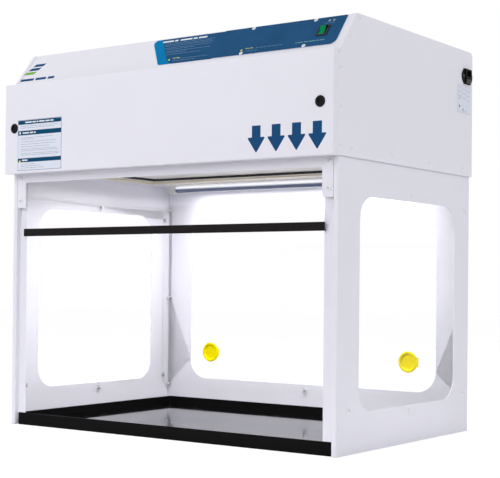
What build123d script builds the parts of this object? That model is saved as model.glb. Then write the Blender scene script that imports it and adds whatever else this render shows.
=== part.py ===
"""Bench-top laminar flow hood, 36 in class.

A painted sheet-metal enclosure stands over a black spill tray and carries a head that holds a
blower, a pleated filter and a lamp. Air is drawn in through the top and blown down on the work.

Frame: millimetres, +X to the user's right, +Y to the back, +Z up. The origin is at bench level,
midway between the two sides and midway between the door's face and the back of the head.
"""

from build123d import *
import os
from math import atan2, cos, degrees, hypot, radians, sin

os.makedirs("parts", exist_ok=True)

# ---------------------------------------------------------------- driving sizes, overall
overall_depth = 610.0
head_width = 914.0
body_width = 906.0
body_front_setback = 26.0
body_back_setback = 3.5
enclosure_height = 600.0
head_drop = 8.0
head_rise = 282.0

# sheet metal
sheet = 1.5
bend = 2.5
fit_gap = 0.5
seat_gap = 0.3

# enclosure front edge: outer strip, step back, inner flange
strip_width = 12.0
step_depth = 9.0
front_flange = 25.0
back_flange = 26.0
top_flange = 18.0

# tray and work surface
tray_height = 28.0
tray_setback = 8.0
tray_wall = 6.0
tray_floor = 8.0
tray_corner = 6.0
tray_rim_round = 1.2
surface_thickness = 3.0

# windows and clear panes
pane_thickness = 4.0
window_corner = 50.0
window_drop = 1.0
side_window_border = 94.5
side_window_margin = 81.5
side_window_shift = 15.5
side_pane_shift = 20.0
side_bolt_border = 49.0
side_bolt_margin = 90.0
middle_bolt_margin = 69.0
pane_margin = 13.0
back_window_border = 82.0
back_window_margin = 83.0
back_bolt_inset = 12.0
back_bolt_margin = 63.0

# port plugs in the back pane
port_inset = 154.0
port_level = 153.5
port_radius = 22.0
plug_flange_radius = 25.5
plug_flange = 3.0
plug_depth = 7.0
plug_taper = 1.0
plug_recess_radius = 19.5
plug_recess = 3.5
plug_recess_draft = 1.5
plug_tab_length = 3.5
plug_tab_width = 24.0
plug_tab_thickness = 1.5

# front shield, its bracket and its edge strip
shield_thickness = 5.0
shield_drop = 153.0
shield_top_drop = 3.0
shield_corner = 12.0
bracket_thickness = 3.0
bracket_leg = 26.0
bracket_band_drop = 28.5
bracket_leg_drop = 88.5
bracket_inner_corner = 5.0
shield_screw_inset = 10.0
shield_screw_drop = 71.3
shield_screw_pitch = 52.0
edge_strip_rise = 15.5
edge_strip_wall = 2.0
edge_strip_overlap = 4.0

# fasteners
bolt_radius = 2.5
bolt_head_radius = 6.2
bolt_head_height = 3.6
hole_clearance = 0.25
nut_flats = 8.0
nut_height = 4.0
bolt_tail = 3.0
screw_radius = 2.0
screw_head_radius = 4.5
screw_head_height = 2.0
screw_tail = 4.0

# head shell
side_front_setback = 15.0
side_flange = 12.0
edge_bend = 5.0
slope_foot_rise = 190.0
slope_top_setback = 86.0
rear_corner = 12.0
cover_foot_ledge = 14.0
cover_side_flange = 20.0
cover_back_flange = 32.0
base_flange = 26.0
base_front_lip = 8.0
upper_slope_screw_drop = 2.0
upper_slope_screw_inset = 14.0
lower_slope_screw_drop = 56.0
lower_slope_screw_inset = 8.5
foot_screw_rise = 11.0
front_screw_rise = 11.0
front_screw_pitch = 77.0
front_screw_count = 3
front_screw_setback = 25.0
base_screw_rise = 9.0
base_screw_first = 67.0
base_screw_last = 49.2
base_screw_count = 4
back_screw_border = 60.0
back_screw_count = 4

# access door and its quarter-turn locks
door_drop = 9.0
door_rise = 201.0
door_seat_gap = 0.4
door_bend = 2.5
lock_inset = 31.4
lock_rise = 97.0
lock_flange_radius = 11.5
lock_flange = 2.2
lock_barrel_radius = 8.5
lock_barrel_depth = 9.0
lock_flange_chamfer = 1.2
lock_nut_height = 3.0
lock_collar = 1.6
lock_collar_height = 1.5
lock_stem_chamfer = 1.2
lock_core_radius = 6.0
lock_core_recess = 1.4
lock_slot = 2.0
lock_stem_radius = 3.6
lock_stem_length = 8.5
keeper_width = 46.0
keeper_height = 44.0
keeper_corner = 6.0
keeper_clearance = 0.8
turning_clearance = 0.08

# control plate on the slope
plate_left = 130.0
plate_right_inset = 20.0
plate_margin_top = 1.5
plate_length = 84.0
plate_thickness = 1.5
plate_screw_reach = 78.0
plate_screw_margin = 4.0
overlay_thickness = 0.4
overlay_left_top = -75.0
overlay_left_bottom = -18.5
overlay_corner = 9.0

# rocker switch
switch_inset = 64.0
switch_drop = 42.0
switch_width = 26.0
switch_length = 30.0
switch_rim = 2.2
switch_body_depth = 22.0
switch_side_rim = 2.0
switch_end_rim = 1.5
switch_corner = 1.5
switch_chamfer = 0.7
switch_pivot_rise = 1.0
rocker_width = 19.0
rocker_radius = 11.4
rocker_rise = 3.2
rocker_dip = 2.4
rocker_skirt = 6.0
rocker_tilt = 9.0
rocker_pin_radius = 1.6
rocker_pin_length = 1.2

# labels
label_thickness = 0.3
instruction_inset = 43.5
instruction_width = 140.5
instruction_drop = 3.0
instruction_height = 118.0
rating_width = 66.0
rating_height = 64.0
rating_back_margin = 10.0

# power inlet on the right side
inlet_setback = 31.0
inlet_rise = 223.0
inlet_ear_pitch = 40.0
inlet_flange_width = 30.0
inlet_flange_height = 36.0
inlet_flange_thickness = 3.0
inlet_ear_radius = 5.0
inlet_body_depth = 24.0
inlet_socket_rise = 4.0
inlet_rim = 1.5
inlet_corner = 2.5
inlet_socket_width = 28.0
inlet_socket_height = 20.0
inlet_cavity_width = 22.0
inlet_cavity_height = 14.0
inlet_cavity_depth = 15.0
inlet_pin_length = 10.0
inlet_pin_width = 2.0
inlet_pin_height = 4.0
inlet_pin_reach = 7.0
inlet_side_pin_drop = 1.5
inlet_middle_pin_rise = 2.5
inlet_cavity_chamfer = 4.0
inlet_screw_length = 8.0
drawer_width = 24.0
drawer_height = 10.0
drawer_rise = 4.0
drawer_depth = 16.0
drawer_lip = 1.5
drawer_margin = 2.0
drawer_end_gap = 1.0

# filter stack, measured from the head's base pan upwards
filter_width = 762.0
filter_front_margin = 55.0
filter_back_margin = 155.0
filter_height = 78.0
filter_wall = 12.0
filter_opening_margin = 19.0
gasket_height = 6.0
pleat_pitch = 12.0
pleat_tip = 3.0
pleat_height = 56.0
pleat_sheet = 0.8
grille_sheet = 1.2
gasket_width = 14.0
grille_margin = 12.0
grille_bar = 9.0
grille_columns = 14
grille_rows = 12
retainer_width = 34.0
retainer_height = 4.0

# plenum and blower
plenum_height = 112.0
deck_margin = 8.0
clamp_radius = 3.0
intake_throat_radius = 80.0
intake_ring_height = 14.0
intake_ring_flange = 22.0
intake_ring_curve = 4.0
intake_ring_lip = 1.0
throat_clearance = 6.0
impeller_radius = 125.0
impeller_height = 62.0
impeller_plate = 2.0
impeller_eye_radius = 84.0
shroud_drop = 13.64
shroud_lip = 3.0
shroud_knee = 8.0
shroud_knee_drop = 8.18
hub_margin = 8.0
blade_root_extra = 10.0
blade_root_drop = 22.0
wheel_gap = 6.0
blade_count = 9
blade_thickness = 2.0
blade_turn = 52.0
blade_curl = 0.32
running_gap = 4.0
motor_radius = 46.0
motor_height = 44.0
motor_wall = 4.0
motor_crown = 6.0
motor_air_gap = 2.0
motor_hub_wall = 5.0
motor_hub_height = 16.0
motor_hub_drop = 20.0
motor_core_drop = 24.0
motor_foot_inset = 12.0
motor_foot = 2.0
shaft_setback = 1.0
shaft_radius = 6.0
shaft_clearance = 0.05
motor_plate_radius = 60.0
motor_plate = 3.0
strut_width = 16.0
strut_count = 3

# intake on the top
intake_width = 460.0
intake_depth = 300.0
intake_frame = 22.0
intake_frame_height = 3.0
intake_frame_corner = 8.0
intake_frame_chamfer = 0.8
intake_slot_count = 14
intake_slot_width = 8.0
prefilter_height = 20.0
prefilter_ledge = 12.0

# lamp under the head, near the back
lamp_setback = 68.0
lamp_length = 750.0
lamp_radius = 8.0
lamp_drop = 13.0
lamp_holder_length = 22.0
lamp_holder_width = 22.0
lamp_holder_wall = 3.0
lamp_tray_margin = 4.0
lamp_tube_round = 2.0
lamp_tray_height = 3.0
ballast_length = 210.0
ballast_width = 40.0
ballast_height = 28.0
ballast_round = 4.0

# domed heads, as shares of their radius and height
head_flank = 0.35
head_crown = 0.6

# sideways gaps of the folded head pieces
cover_fit = 0.1
pan_fit = 0.05

# length of a cutting rod
hole_run = 20.0

# ---------------------------------------------------------------- planes that follow
port_reach = body_width / 2 - port_inset
front_y = -overall_depth / 2
back_y = overall_depth / 2
head_bottom = enclosure_height - head_drop
head_top = enclosure_height + head_rise
slope_foot = enclosure_height + slope_foot_rise
body_x = body_width / 2
head_x = head_width / 2
body_front = front_y + body_front_setback
body_back = back_y - body_back_setback
flange_face = body_front + step_depth
wall_inner_x = body_x - sheet
back_panel_y = body_back - 2 * sheet
tray_x = body_x - strip_width - fit_gap
inner_bend = bend - sheet
tray_front = body_front + tray_setback
window_middle = enclosure_height / 2 - window_drop
side_window_width = overall_depth - 2 * side_window_border
side_window_height = enclosure_height - 2 * side_window_margin
side_bolt_reach = overall_depth / 2 - side_bolt_border
side_bolt_rise = enclosure_height / 2 - side_bolt_margin
middle_bolt_rise = enclosure_height / 2 - middle_bolt_margin
back_window_width = body_width - 2 * back_window_border
back_window_height = enclosure_height - 2 * back_window_margin
back_bolt_rise = enclosure_height / 2 - back_bolt_margin
back_panel_x = wall_inner_x - inner_bend
shield_x = body_x - strip_width - bend
shield_face = flange_face - shield_thickness
bracket_face = shield_face - bracket_thickness
shield_top = enclosure_height - shield_top_drop
shield_bottom = enclosure_height - shield_drop
bracket_band_bottom = enclosure_height - bracket_band_drop
bracket_leg_bottom = enclosure_height - bracket_leg_drop
shield_screw_low = enclosure_height - shield_screw_drop
side_front = front_y + side_front_setback
slope_foot_y = side_front
slope_top_y = front_y + slope_top_setback
slope_rise = head_top - slope_foot
slope_run = slope_top_y - slope_foot_y
slope_length = hypot(slope_rise, slope_run)
slope_angle = degrees(atan2(slope_rise, slope_run))
head_inner_x = head_x - sheet
door_bottom = enclosure_height - door_drop
door_top = enclosure_height + door_rise
lock_reach = head_x - lock_inset
lock_level = enclosure_height + lock_rise
base_screw_level = enclosure_height + base_screw_rise
plate_right = head_x - plate_right_inset
switch_centre = head_x - switch_inset
switch_face = plate_thickness + overlay_thickness
pivot_height = switch_face + switch_rim - rocker_rise + switch_pivot_rise
instruction_left = instruction_inset - head_x
instruction_bottom = enclosure_height - instruction_drop
inlet_level = enclosure_height + inlet_rise
socket_rise = inlet_flange_height / 2 - inlet_socket_height / 2 - inlet_rim
drawer_level = drawer_height / 2 + drawer_margin - inlet_flange_height / 2
intake_y = (slope_top_y + back_y) / 2
base_top = enclosure_height + sheet
base_flange_top = enclosure_height + base_flange
grille_bottom = base_top + gasket_height
filter_bottom = grille_bottom + grille_sheet
filter_top = filter_bottom + filter_height
deck_level = filter_top + plenum_height
filter_depth = overall_depth - filter_front_margin - filter_back_margin
filter_centre = (filter_front_margin - filter_back_margin) / 2
blower_y = filter_centre
lamp_y = back_y - lamp_setback
lamp_z = enclosure_height - lamp_drop
wheel_top = deck_level - wheel_gap
wheel_base = wheel_top - impeller_height

# the slope's own plane: local x across, local y up the slope, local z out of the face
slope_plane = Plane(
    origin=(0, slope_top_y, head_top),
    x_dir=(1, 0, 0),
    z_dir=(0, -sin(radians(slope_angle)), cos(radians(slope_angle))),
)
# the cover's sheet lies one thickness under the side panels' folded edge
cover_plane = slope_plane.offset(-sheet)
switch_place = cover_plane * Pos(switch_centre, -switch_drop, 0)
inlet_plane = Plane(origin=(head_x, back_y - inlet_setback, inlet_level), z_dir=(1, 0, 0), x_dir=(0, 1, 0))

LOW = (Align.CENTER, Align.CENTER, Align.MIN)
SIDES = (-1, 1)


# ---------------------------------------------------------------- shared shapes
def block(x0, x1, y0, y1, z0, z1):
    """A box between two corners."""
    size = Box(x1 - x0, y1 - y0, z1 - z0)
    return Pos((x0 + x1) / 2, (y0 + y1) / 2, (z0 + z1) / 2) * size


def rod(radius, start, direction, length):
    """A round bar from a point along a direction."""
    return Plane(origin=start, z_dir=direction) * Cylinder(radius, length, align=LOW)


def save(name, *solids):
    """Writes one sub-part, made of one solid or of several like ones."""
    shape = solids[0] if len(solids) == 1 else Compound(children=list(solids))
    export_step(shape, f"parts/{name}.step")


def domed(start, outward, head_radius, head_height, shank_radius, shank_length):
    """A low domed head on a plain shank, seated at a point and facing outward."""
    outline = make_face(
        Polyline(
            (0, head_height),
            (0, -shank_length),
            (shank_radius, -shank_length),
            (shank_radius, 0),
            (head_radius, 0),
            (head_radius, head_height * head_flank),
            (head_radius * head_crown, head_height),
            close=True,
        )
    )
    return Plane(origin=start, z_dir=outward) * revolve(Plane.XZ * outline, Axis.Z)


def nut(start, outward, bore_radius):
    """A hexagon nut seated at a point, standing outward."""
    blank = extrude(RegularPolygon(nut_flats / 2, 6, major_radius=False), nut_height)
    blank -= Cylinder(bore_radius, nut_height, align=LOW)
    return Plane(origin=start, z_dir=outward) * blank


def window_cut(width, height, thickness):
    """The rounded cut-out of a window, as a slab centred on its own plane."""
    return extrude(RectangleRounded(width, height, window_corner), thickness / 2, both=True)


# ---------------------------------------------------------------- where fasteners sit
side_bolts = [
    (side_pane_shift, window_middle + middle_bolt_rise),
    (side_pane_shift, window_middle - middle_bolt_rise),
    (side_pane_shift + side_bolt_reach, window_middle + side_bolt_rise),
    (side_pane_shift + side_bolt_reach, window_middle - side_bolt_rise),
    (side_pane_shift - side_bolt_reach, window_middle - side_bolt_rise),
]
back_bolt_x = body_x - back_bolt_inset
back_bolts = [(s * back_bolt_x, window_middle + r * back_bolt_rise) for s in SIDES for r in (-1, 0, 1)]
back_middle_bolts = [(0, window_middle + r * middle_bolt_rise) for r in SIDES]
shield_screw_x = tray_x - shield_screw_inset
shield_screws = [
    (s * shield_screw_x, shield_screw_low + i * shield_screw_pitch) for s in SIDES for i in range(2)
]

slope_screws = [
    (
        slope_top_y - down * cos(radians(slope_angle)) + inset * sin(radians(slope_angle)),
        head_top - down * sin(radians(slope_angle)) - inset * cos(radians(slope_angle)),
    )
    for down, inset in (
        (upper_slope_screw_drop, upper_slope_screw_inset),
        (lower_slope_screw_drop, lower_slope_screw_inset),
    )
]
front_screws = [
    (front_y + front_screw_setback, enclosure_height + front_screw_rise + i * front_screw_pitch)
    for i in range(front_screw_count)
]
base_screw_pitch = (overall_depth - base_screw_first - base_screw_last) / (base_screw_count - 1)
base_screws = [
    (front_y + base_screw_first + i * base_screw_pitch, base_screw_level)
    for i in range(base_screw_count)
]
head_side_screws = slope_screws + front_screws + base_screws
back_screw_z = head_top - cover_back_flange / 2 - rear_corner / 2
back_screw_pitch = (head_width - 2 * back_screw_border) / (back_screw_count - 1)
back_screw_xs = [(i - (back_screw_count - 1) / 2) * back_screw_pitch for i in range(back_screw_count)]
plate_centre = (plate_left + plate_right) / 2
plate_middle = -plate_margin_top - plate_length / 2
plate_screw_rise = plate_length / 2 - plate_screw_margin
plate_screws = [
    (plate_centre + s * plate_screw_reach, plate_middle + r * plate_screw_rise)
    for s in SIDES
    for r in SIDES
]


# ---------------------------------------------------------------- enclosure
def side_panel():
    """The right side: one folded sheet with a stepped front edge, a window and bolt holes."""
    inner_edge = body_x - strip_width - front_flange
    outer_line = FilletPolyline(
        (inner_edge, flange_face),
        (body_x - strip_width, flange_face),
        (body_x - strip_width, body_front),
        (body_x, body_front),
        (body_x, body_back),
        (body_x - back_flange, body_back),
        radius=bend,
    )
    section = make_face(offset(outer_line, sheet, side=Side.LEFT))
    panel = extrude(section, enclosure_height)
    tray_notch = block(
        inner_edge - 1,
        body_x - strip_width,
        flange_face - 1,
        flange_face + 2 * sheet,
        0,
        tray_height + fit_gap,
    )
    panel -= tray_notch
    panel += block(
        wall_inner_x - top_flange,
        wall_inner_x,
        flange_face + 2 * sheet,
        back_panel_y - top_flange,
        enclosure_height - sheet,
        enclosure_height,
    )
    opening = window_cut(side_window_width, side_window_height, 6 * sheet)
    window_plane = Plane(
        origin=(wall_inner_x, side_window_shift, window_middle), z_dir=(1, 0, 0), x_dir=(0, 1, 0)
    )
    panel -= window_plane * opening
    hole = bolt_radius + hole_clearance
    for y, z in side_bolts:
        panel -= rod(hole, (wall_inner_x - 1, y, z), (1, 0, 0), sheet + 2)
    for z in (window_middle - back_bolt_rise, window_middle, window_middle + back_bolt_rise):
        panel -= rod(hole, (back_bolt_x, body_back - sheet - 1, z), (0, 1, 0), sheet + 2)
    for x, z in shield_screws[2:]:
        panel -= rod(hole, (x, flange_face - 1, z), (0, 1, 0), sheet + 2)
    return panel


def back_panel():
    """The lower back: a sheet between the sides with its own window and a ledge for the head."""
    panel = block(-back_panel_x, back_panel_x, back_panel_y, back_panel_y + sheet, 0, enclosure_height)
    panel += block(
        -wall_inner_x + top_flange + fit_gap,
        wall_inner_x - top_flange - fit_gap,
        back_panel_y - top_flange,
        back_panel_y + sheet,
        enclosure_height - sheet,
        enclosure_height,
    )
    opening = window_cut(back_window_width, back_window_height, 6 * sheet)
    panel -= Plane(origin=(0, back_panel_y, window_middle), z_dir=(0, -1, 0), x_dir=(1, 0, 0)) * opening
    for x, z in back_bolts + back_middle_bolts:
        panel -= rod(bolt_radius + hole_clearance, (x, back_panel_y - 1, z), (0, 1, 0), sheet + 2)
    return panel


def tray():
    """The black spill tray: a flat pan with an upstand all round and rounded corners."""
    length = back_panel_y - fit_gap - tray_front
    centre = (back_panel_y - fit_gap + tray_front) / 2
    pan = Pos(0, centre, 0) * extrude(RectangleRounded(2 * tray_x, length, tray_corner), tray_height)
    well = extrude(
        RectangleRounded(2 * (tray_x - tray_wall), length - 2 * tray_wall, tray_corner - 2),
        tray_height - tray_floor,
    )
    pan -= Pos(0, centre, tray_floor) * well
    rims = pan.faces().sort_by(Axis.Z)[-1].edges()
    pan = fillet(rims, tray_rim_round)
    surface = extrude(
        RectangleRounded(
            2 * (tray_x - tray_wall - seat_gap), length - 2 * (tray_wall + seat_gap), tray_corner - 2
        ),
        surface_thickness,
    )
    return pan, Pos(0, centre, tray_floor) * surface


def side_pane():
    """The right clear pane, bolted to the inner face of its panel."""
    width = 2 * (side_bolt_reach + pane_margin)
    height = 2 * (middle_bolt_rise + pane_margin)
    pane = Pos(wall_inner_x - pane_thickness / 2, side_pane_shift, window_middle) * Box(
        pane_thickness, width, height
    )
    for y, z in side_bolts:
        pane -= rod(
            bolt_radius + hole_clearance,
            (wall_inner_x - pane_thickness - 1, y, z),
            (1, 0, 0),
            pane_thickness + 2,
        )
    return pane


def back_pane():
    """The back clear pane, with two round ports."""
    width = 2 * (wall_inner_x - 2 * fit_gap)
    height = 2 * (back_bolt_rise + pane_margin)
    y = back_panel_y - pane_thickness
    pane = Pos(0, back_panel_y - pane_thickness / 2, window_middle) * Box(width, pane_thickness, height)
    for x, z in back_bolts + back_middle_bolts:
        pane -= rod(bolt_radius + hole_clearance, (x, y - 1, z), (0, 1, 0), pane_thickness + 2)
    for s in SIDES:
        pane -= rod(port_radius, (s * port_reach, y - 1, port_level), (0, 1, 0), pane_thickness + 2)
    return pane


def port_plug():
    """A soft hollow plug along local Z: flange, tapered wall, recess and a pull tab."""
    wall_top = port_radius - seat_gap
    outline = make_face(
        Polyline(
            (0, plug_depth),
            (wall_top - plug_taper, plug_depth),
            (wall_top, 0),
            (plug_flange_radius, 0),
            (plug_flange_radius, 1 - plug_flange),
            (plug_flange_radius - 1, -plug_flange),
            (plug_recess_radius + 1, -plug_flange),
            (plug_recess_radius, 1 - plug_flange),
            (plug_recess_radius - plug_recess_draft, plug_recess - plug_flange),
            (0, plug_recess - plug_flange),
            (0, plug_depth),
        )
    )
    plug = revolve(Plane.XZ * outline, Axis.Z)
    tab = block(
        plug_recess_radius + 1,
        plug_flange_radius + plug_tab_length,
        -plug_tab_width / 2,
        plug_tab_width / 2,
        -plug_flange,
        plug_tab_thickness - plug_flange,
    )
    outer_corners = tab.edges().filter_by(Axis.Z).group_by(Axis.X)[-1]
    return plug + fillet(outer_corners, plug_tab_length)


def placed_plug(side):
    """A plug seated in its port, its flange just clear of the pane's inner face."""
    seat = back_panel_y - pane_thickness - seat_gap
    place = Plane(origin=(side * port_reach, seat, port_level), z_dir=(0, 1, 0), x_dir=(1, 0, 0))
    return place * port_plug()


def pane_bolts():
    """Domed bolts outside the panels, with their tails inside the chamber."""
    reach = sheet + pane_thickness + nut_height + bolt_tail
    bolts = []
    for s in SIDES:
        for y, z in side_bolts:
            bolts.append(
                domed((s * body_x, y, z), (s, 0, 0), bolt_head_radius, bolt_head_height, bolt_radius, reach)
            )
    for x, z in back_bolts:
        bolts.append(
            domed(
                (x, body_back, z), (0, 1, 0), bolt_head_radius, bolt_head_height, bolt_radius, reach + sheet
            )
        )
    for x, z in back_middle_bolts:
        bolts.append(
            domed(
                (x, back_panel_y + sheet, z),
                (0, 1, 0),
                bolt_head_radius,
                bolt_head_height,
                bolt_radius,
                reach,
            )
        )
    return bolts


def pane_nuts():
    """The nuts on those bolts, seated on the panes."""
    nuts = []
    for s in SIDES:
        for y, z in side_bolts:
            nuts.append(nut((s * (wall_inner_x - pane_thickness), y, z), (-s, 0, 0), bolt_radius))
    for x, z in back_bolts + back_middle_bolts:
        nuts.append(nut((x, back_panel_y - pane_thickness, z), (0, -1, 0), bolt_radius))
    return nuts


# ---------------------------------------------------------------- front shield
def shield():
    """The clear front shield, with rounded bottom corners."""
    height = shield_top - shield_bottom
    sheet_face = Rectangle(2 * shield_x, height)
    bottom = sheet_face.vertices().group_by(Axis.Y)[0]
    pane = extrude(fillet(bottom, shield_corner), shield_thickness)
    place = Plane(
        origin=(0, flange_face, (shield_top + shield_bottom) / 2), z_dir=(0, -1, 0), x_dir=(1, 0, 0)
    )
    pane = place * pane
    for x, z in shield_screws:
        pane -= rod(bolt_radius + hole_clearance, (x, shield_face - 1, z), (0, 1, 0), shield_thickness + 2)
    return pane


def shield_bracket():
    """The inverted U plate that clamps the shield to the side flanges."""
    plate = block(-tray_x, tray_x, bracket_face, shield_face, bracket_leg_bottom, shield_top)
    inner_x = tray_x - bracket_leg
    gap = block(
        -inner_x, inner_x, bracket_face - 1, shield_face + 1, bracket_leg_bottom - 1, bracket_band_bottom
    )
    top_edges = gap.edges().filter_by(Axis.Y).group_by(Axis.Z)[-1]
    plate -= fillet(top_edges, bracket_inner_corner)
    for x, z in shield_screws:
        plate -= rod(bolt_radius + hole_clearance, (x, bracket_face - 1, z), (0, 1, 0), bracket_thickness + 2)
    return plate


def edge_strip():
    """The black channel on the shield's lower edge, relieved where it passes the side flanges."""
    rear = flange_face + edge_strip_wall
    front = shield_face - edge_strip_wall
    bottom = shield_bottom - edge_strip_wall
    inner_edge = body_x - strip_width - front_flange
    half = inner_edge + edge_strip_overlap
    strip = block(-half, half, front, rear, bottom, shield_bottom + edge_strip_rise)
    strip = fillet(strip.edges().filter_by(Axis.X).group_by(Axis.Z)[0], edge_strip_wall - 0.5)
    strip -= block(
        -half - 1, half + 1, shield_face, flange_face, shield_bottom, shield_bottom + edge_strip_rise + 1
    )
    for s in SIDES:
        x = s * (half + inner_edge - fit_gap) / 2
        relief = Box(half - inner_edge + fit_gap, edge_strip_wall, edge_strip_rise + edge_strip_wall)
        strip -= Pos(x, (rear + flange_face) / 2, (bottom + shield_bottom + edge_strip_rise) / 2) * relief
    return strip


def shield_fasteners():
    """Four domed screws through bracket, shield and flange, each with its nut behind."""
    reach = bracket_thickness + shield_thickness + sheet + nut_height + 1
    screws = [
        domed((x, bracket_face, z), (0, -1, 0), bolt_head_radius, bolt_head_height, bolt_radius, reach)
        for x, z in shield_screws
    ]
    nuts = [nut((x, flange_face + sheet, z), (0, 1, 0), bolt_radius) for x, z in shield_screws]
    return screws, nuts


# ---------------------------------------------------------------- head shell
def slope_line_y(z, inset):
    """Where the slope, moved inward by an inset, stands at a height."""
    return slope_foot_y + (z - slope_foot) * slope_run / slope_rise + inset / sin(radians(slope_angle))


def slope_line_z(y, inset):
    """The height of the slope, moved inward by an inset, at a depth."""
    return slope_foot + (y - slope_foot_y - inset / sin(radians(slope_angle))) * slope_rise / slope_run


def yz_face(points):
    """A closed outline in Y and Z, facing +X."""
    return Plane.YZ * make_face(Polyline(*points, close=True))


def head_side():
    """The right head side: a sheet with its front and sloped edges folded inward."""
    outline = yz_face(
        [
            (side_front, head_bottom),
            (side_front, slope_foot),
            (slope_top_y, head_top),
            (back_y, head_top),
            (back_y, head_bottom),
        ]
    )
    blank = Pos(head_x - side_flange, 0, 0) * extrude(outline, side_flange)
    rear_top = blank.edges().filter_by(Axis.X).sort_by(lambda e: e.center().Y + e.center().Z)[-1]
    blank = fillet(rear_top, rear_corner)
    outer_edges = blank.edges().group_by(Axis.X)[-1]
    slanted = [
        e for e in outer_edges if min(e.bounding_box().size.Y, e.bounding_box().size.Z) > edge_bend * 4
    ]
    blank = fillet(slanted, edge_bend)
    inner_front = side_front + sheet
    hollow_outline = yz_face(
        [
            (inner_front, head_bottom - 1),
            (inner_front, slope_line_z(inner_front, sheet)),
            (slope_line_y(head_top + 1, sheet), head_top + 1),
            (back_y + 1, head_top + 1),
            (back_y + 1, head_bottom - 1),
        ]
    )
    hollow = Pos(head_x - side_flange - 1, 0, 0) * extrude(hollow_outline, side_flange + 1 - sheet)
    deep_edges = hollow.edges().group_by(Axis.X)[-1]
    slanted = [e for e in deep_edges if min(e.bounding_box().size.Y, e.bounding_box().size.Z) > edge_bend * 4]
    hollow = fillet(slanted, edge_bend - sheet)
    panel = blank - hollow
    for y, z in head_side_screws:
        panel -= rod(screw_radius + hole_clearance, (head_inner_x - 1, y, z), (1, 0, 0), sheet + 2)
    return panel


def inlet_window(clearance):
    """The block that the power inlet's body fills in the side, grown by a clearance."""
    width = inlet_flange_width - 2 * inlet_rim + 2 * clearance
    height = inlet_flange_height - 2 * inlet_rim + 2 * clearance
    return inlet_plane * Pos(0, 0, -inlet_body_depth) * Box(width, height, inlet_body_depth, align=LOW)


def head_sides():
    """Both sides; only the right one is cut for the power inlet."""
    right = head_side()
    left = mirror(right, Plane.YZ)
    right -= inlet_window(seat_gap)
    for s in SIDES:
        right -= inlet_plane * Pos(s * inlet_ear_pitch / 2, 0, 0) * Cylinder(
            screw_radius + hole_clearance, hole_run
        )
    foot_hole = Cylinder(screw_radius + hole_clearance, hole_run)
    right -= foot_screw_place(1) * foot_hole
    left -= foot_screw_place(-1) * foot_hole
    return left, right


def foot_screw_place(side):
    """Where a small screw ties the folded edge to the cover, low on the slope."""
    return slope_plane * Pos(side * (head_x - side_flange / 2), foot_screw_rise - slope_length, 0)


def cover():
    """The head's cover: one sheet folded over the slope, the top and the top of the back."""
    half = head_inner_x - cover_fit
    foot_y = side_front + sheet
    foot_z = slope_line_z(foot_y, sheet)
    outer_line = Polyline(
        (foot_y + cover_foot_ledge, foot_z),
        (foot_y, foot_z),
        (slope_line_y(head_top, sheet), head_top),
        (back_y - rear_corner, head_top),
    ) + RadiusArc((back_y - rear_corner, head_top), (back_y, head_top - rear_corner), rear_corner)
    outer_line += Line((back_y, head_top - rear_corner), (back_y, head_top - cover_back_flange))
    section = Plane.YZ * make_face(offset(outer_line, sheet, side=Side.RIGHT))
    flange_end = back_y - 2 * sheet - side_flange
    body = Pos(-half, 0, 0) * extrude(section, 2 * half)
    profile = [
        (foot_y, foot_z),
        (slope_line_y(head_top, sheet), head_top),
        (flange_end, head_top),
        (flange_end, head_top - cover_side_flange),
        (slope_line_y(head_top, cover_side_flange), head_top - cover_side_flange),
        (foot_y + cover_side_flange, slope_line_z(foot_y + cover_side_flange, cover_side_flange)),
        (foot_y + cover_side_flange, foot_z),
    ]
    flange = extrude(yz_face(profile), sheet)
    body += Pos(half - sheet, 0, 0) * flange
    body += Pos(-half, 0, 0) * flange
    long_edges = [
        e
        for e in body.edges()
        if abs(abs(e.center().X) - half) < 0.01
        and min(e.bounding_box().size.Y, e.bounding_box().size.Z) > slope_run * 0.9
        and abs(slope_line_z(e.center().Y, sheet) - e.center().Z) < 0.5
    ]
    body = fillet(long_edges, edge_bend - sheet)
    for s in SIDES:
        for y, z in slope_screws:
            body -= rod(screw_radius + hole_clearance, (s * (half - sheet - 1), y, z), (s, 0, 0), sheet + 2)
        body -= foot_screw_place(s) * Cylinder(screw_radius + hole_clearance, hole_run)
    for x in back_screw_xs:
        body -= rod(
            screw_radius + hole_clearance, (x, back_y - sheet - 1, back_screw_z), (0, 1, 0), sheet + 2
        )
    body -= Pos(0, intake_y, head_top) * Box(intake_width, intake_depth, 10 * sheet)
    body -= cover_plane * switch_hole(hole_run, seat_gap)
    for x, y in plate_screws:
        body -= cover_plane * Pos(x, y, 0) * Cylinder(screw_radius + hole_clearance, 4 * sheet)
    return body


def head_back():
    """The head's back sheet, with its ends folded forward against the sides."""
    y = back_y - sheet
    half = head_inner_x - cover_fit
    line = FilletPolyline(
        (-half, y - side_flange), (-half, y), (half, y), (half, y - side_flange), radius=bend
    )
    sheet_body = extrude(
        make_face(offset(line, sheet, side=Side.RIGHT)), head_top - rear_corner - head_bottom - 2
    )
    sheet_body = Pos(0, 0, head_bottom) * sheet_body
    sheet_body -= block(
        -half - 1, half + 1, y - side_flange - 1, y - sheet, head_bottom - 1, base_flange_top + fit_gap
    )
    sheet_body -= inlet_plane * Pos(inlet_ear_pitch / 2, 0, 0) * Cylinder(
        screw_radius + hole_clearance, hole_run
    )
    for x in back_screw_xs:
        for z in (back_screw_z, base_screw_level):
            sheet_body -= rod(screw_radius + hole_clearance, (x, y - sheet - 1, z), (0, 1, 0), sheet + 2)
    return sheet_body


def opening_block(grow, z0, z1):
    """The air opening over the chamber, grown by a margin, between two heights."""
    half_x = filter_width / 2 - filter_opening_margin + grow
    half_y = filter_depth / 2 - filter_opening_margin + grow
    return block(-half_x, half_x, filter_centre - half_y, filter_centre + half_y, z0, z1)


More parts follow.
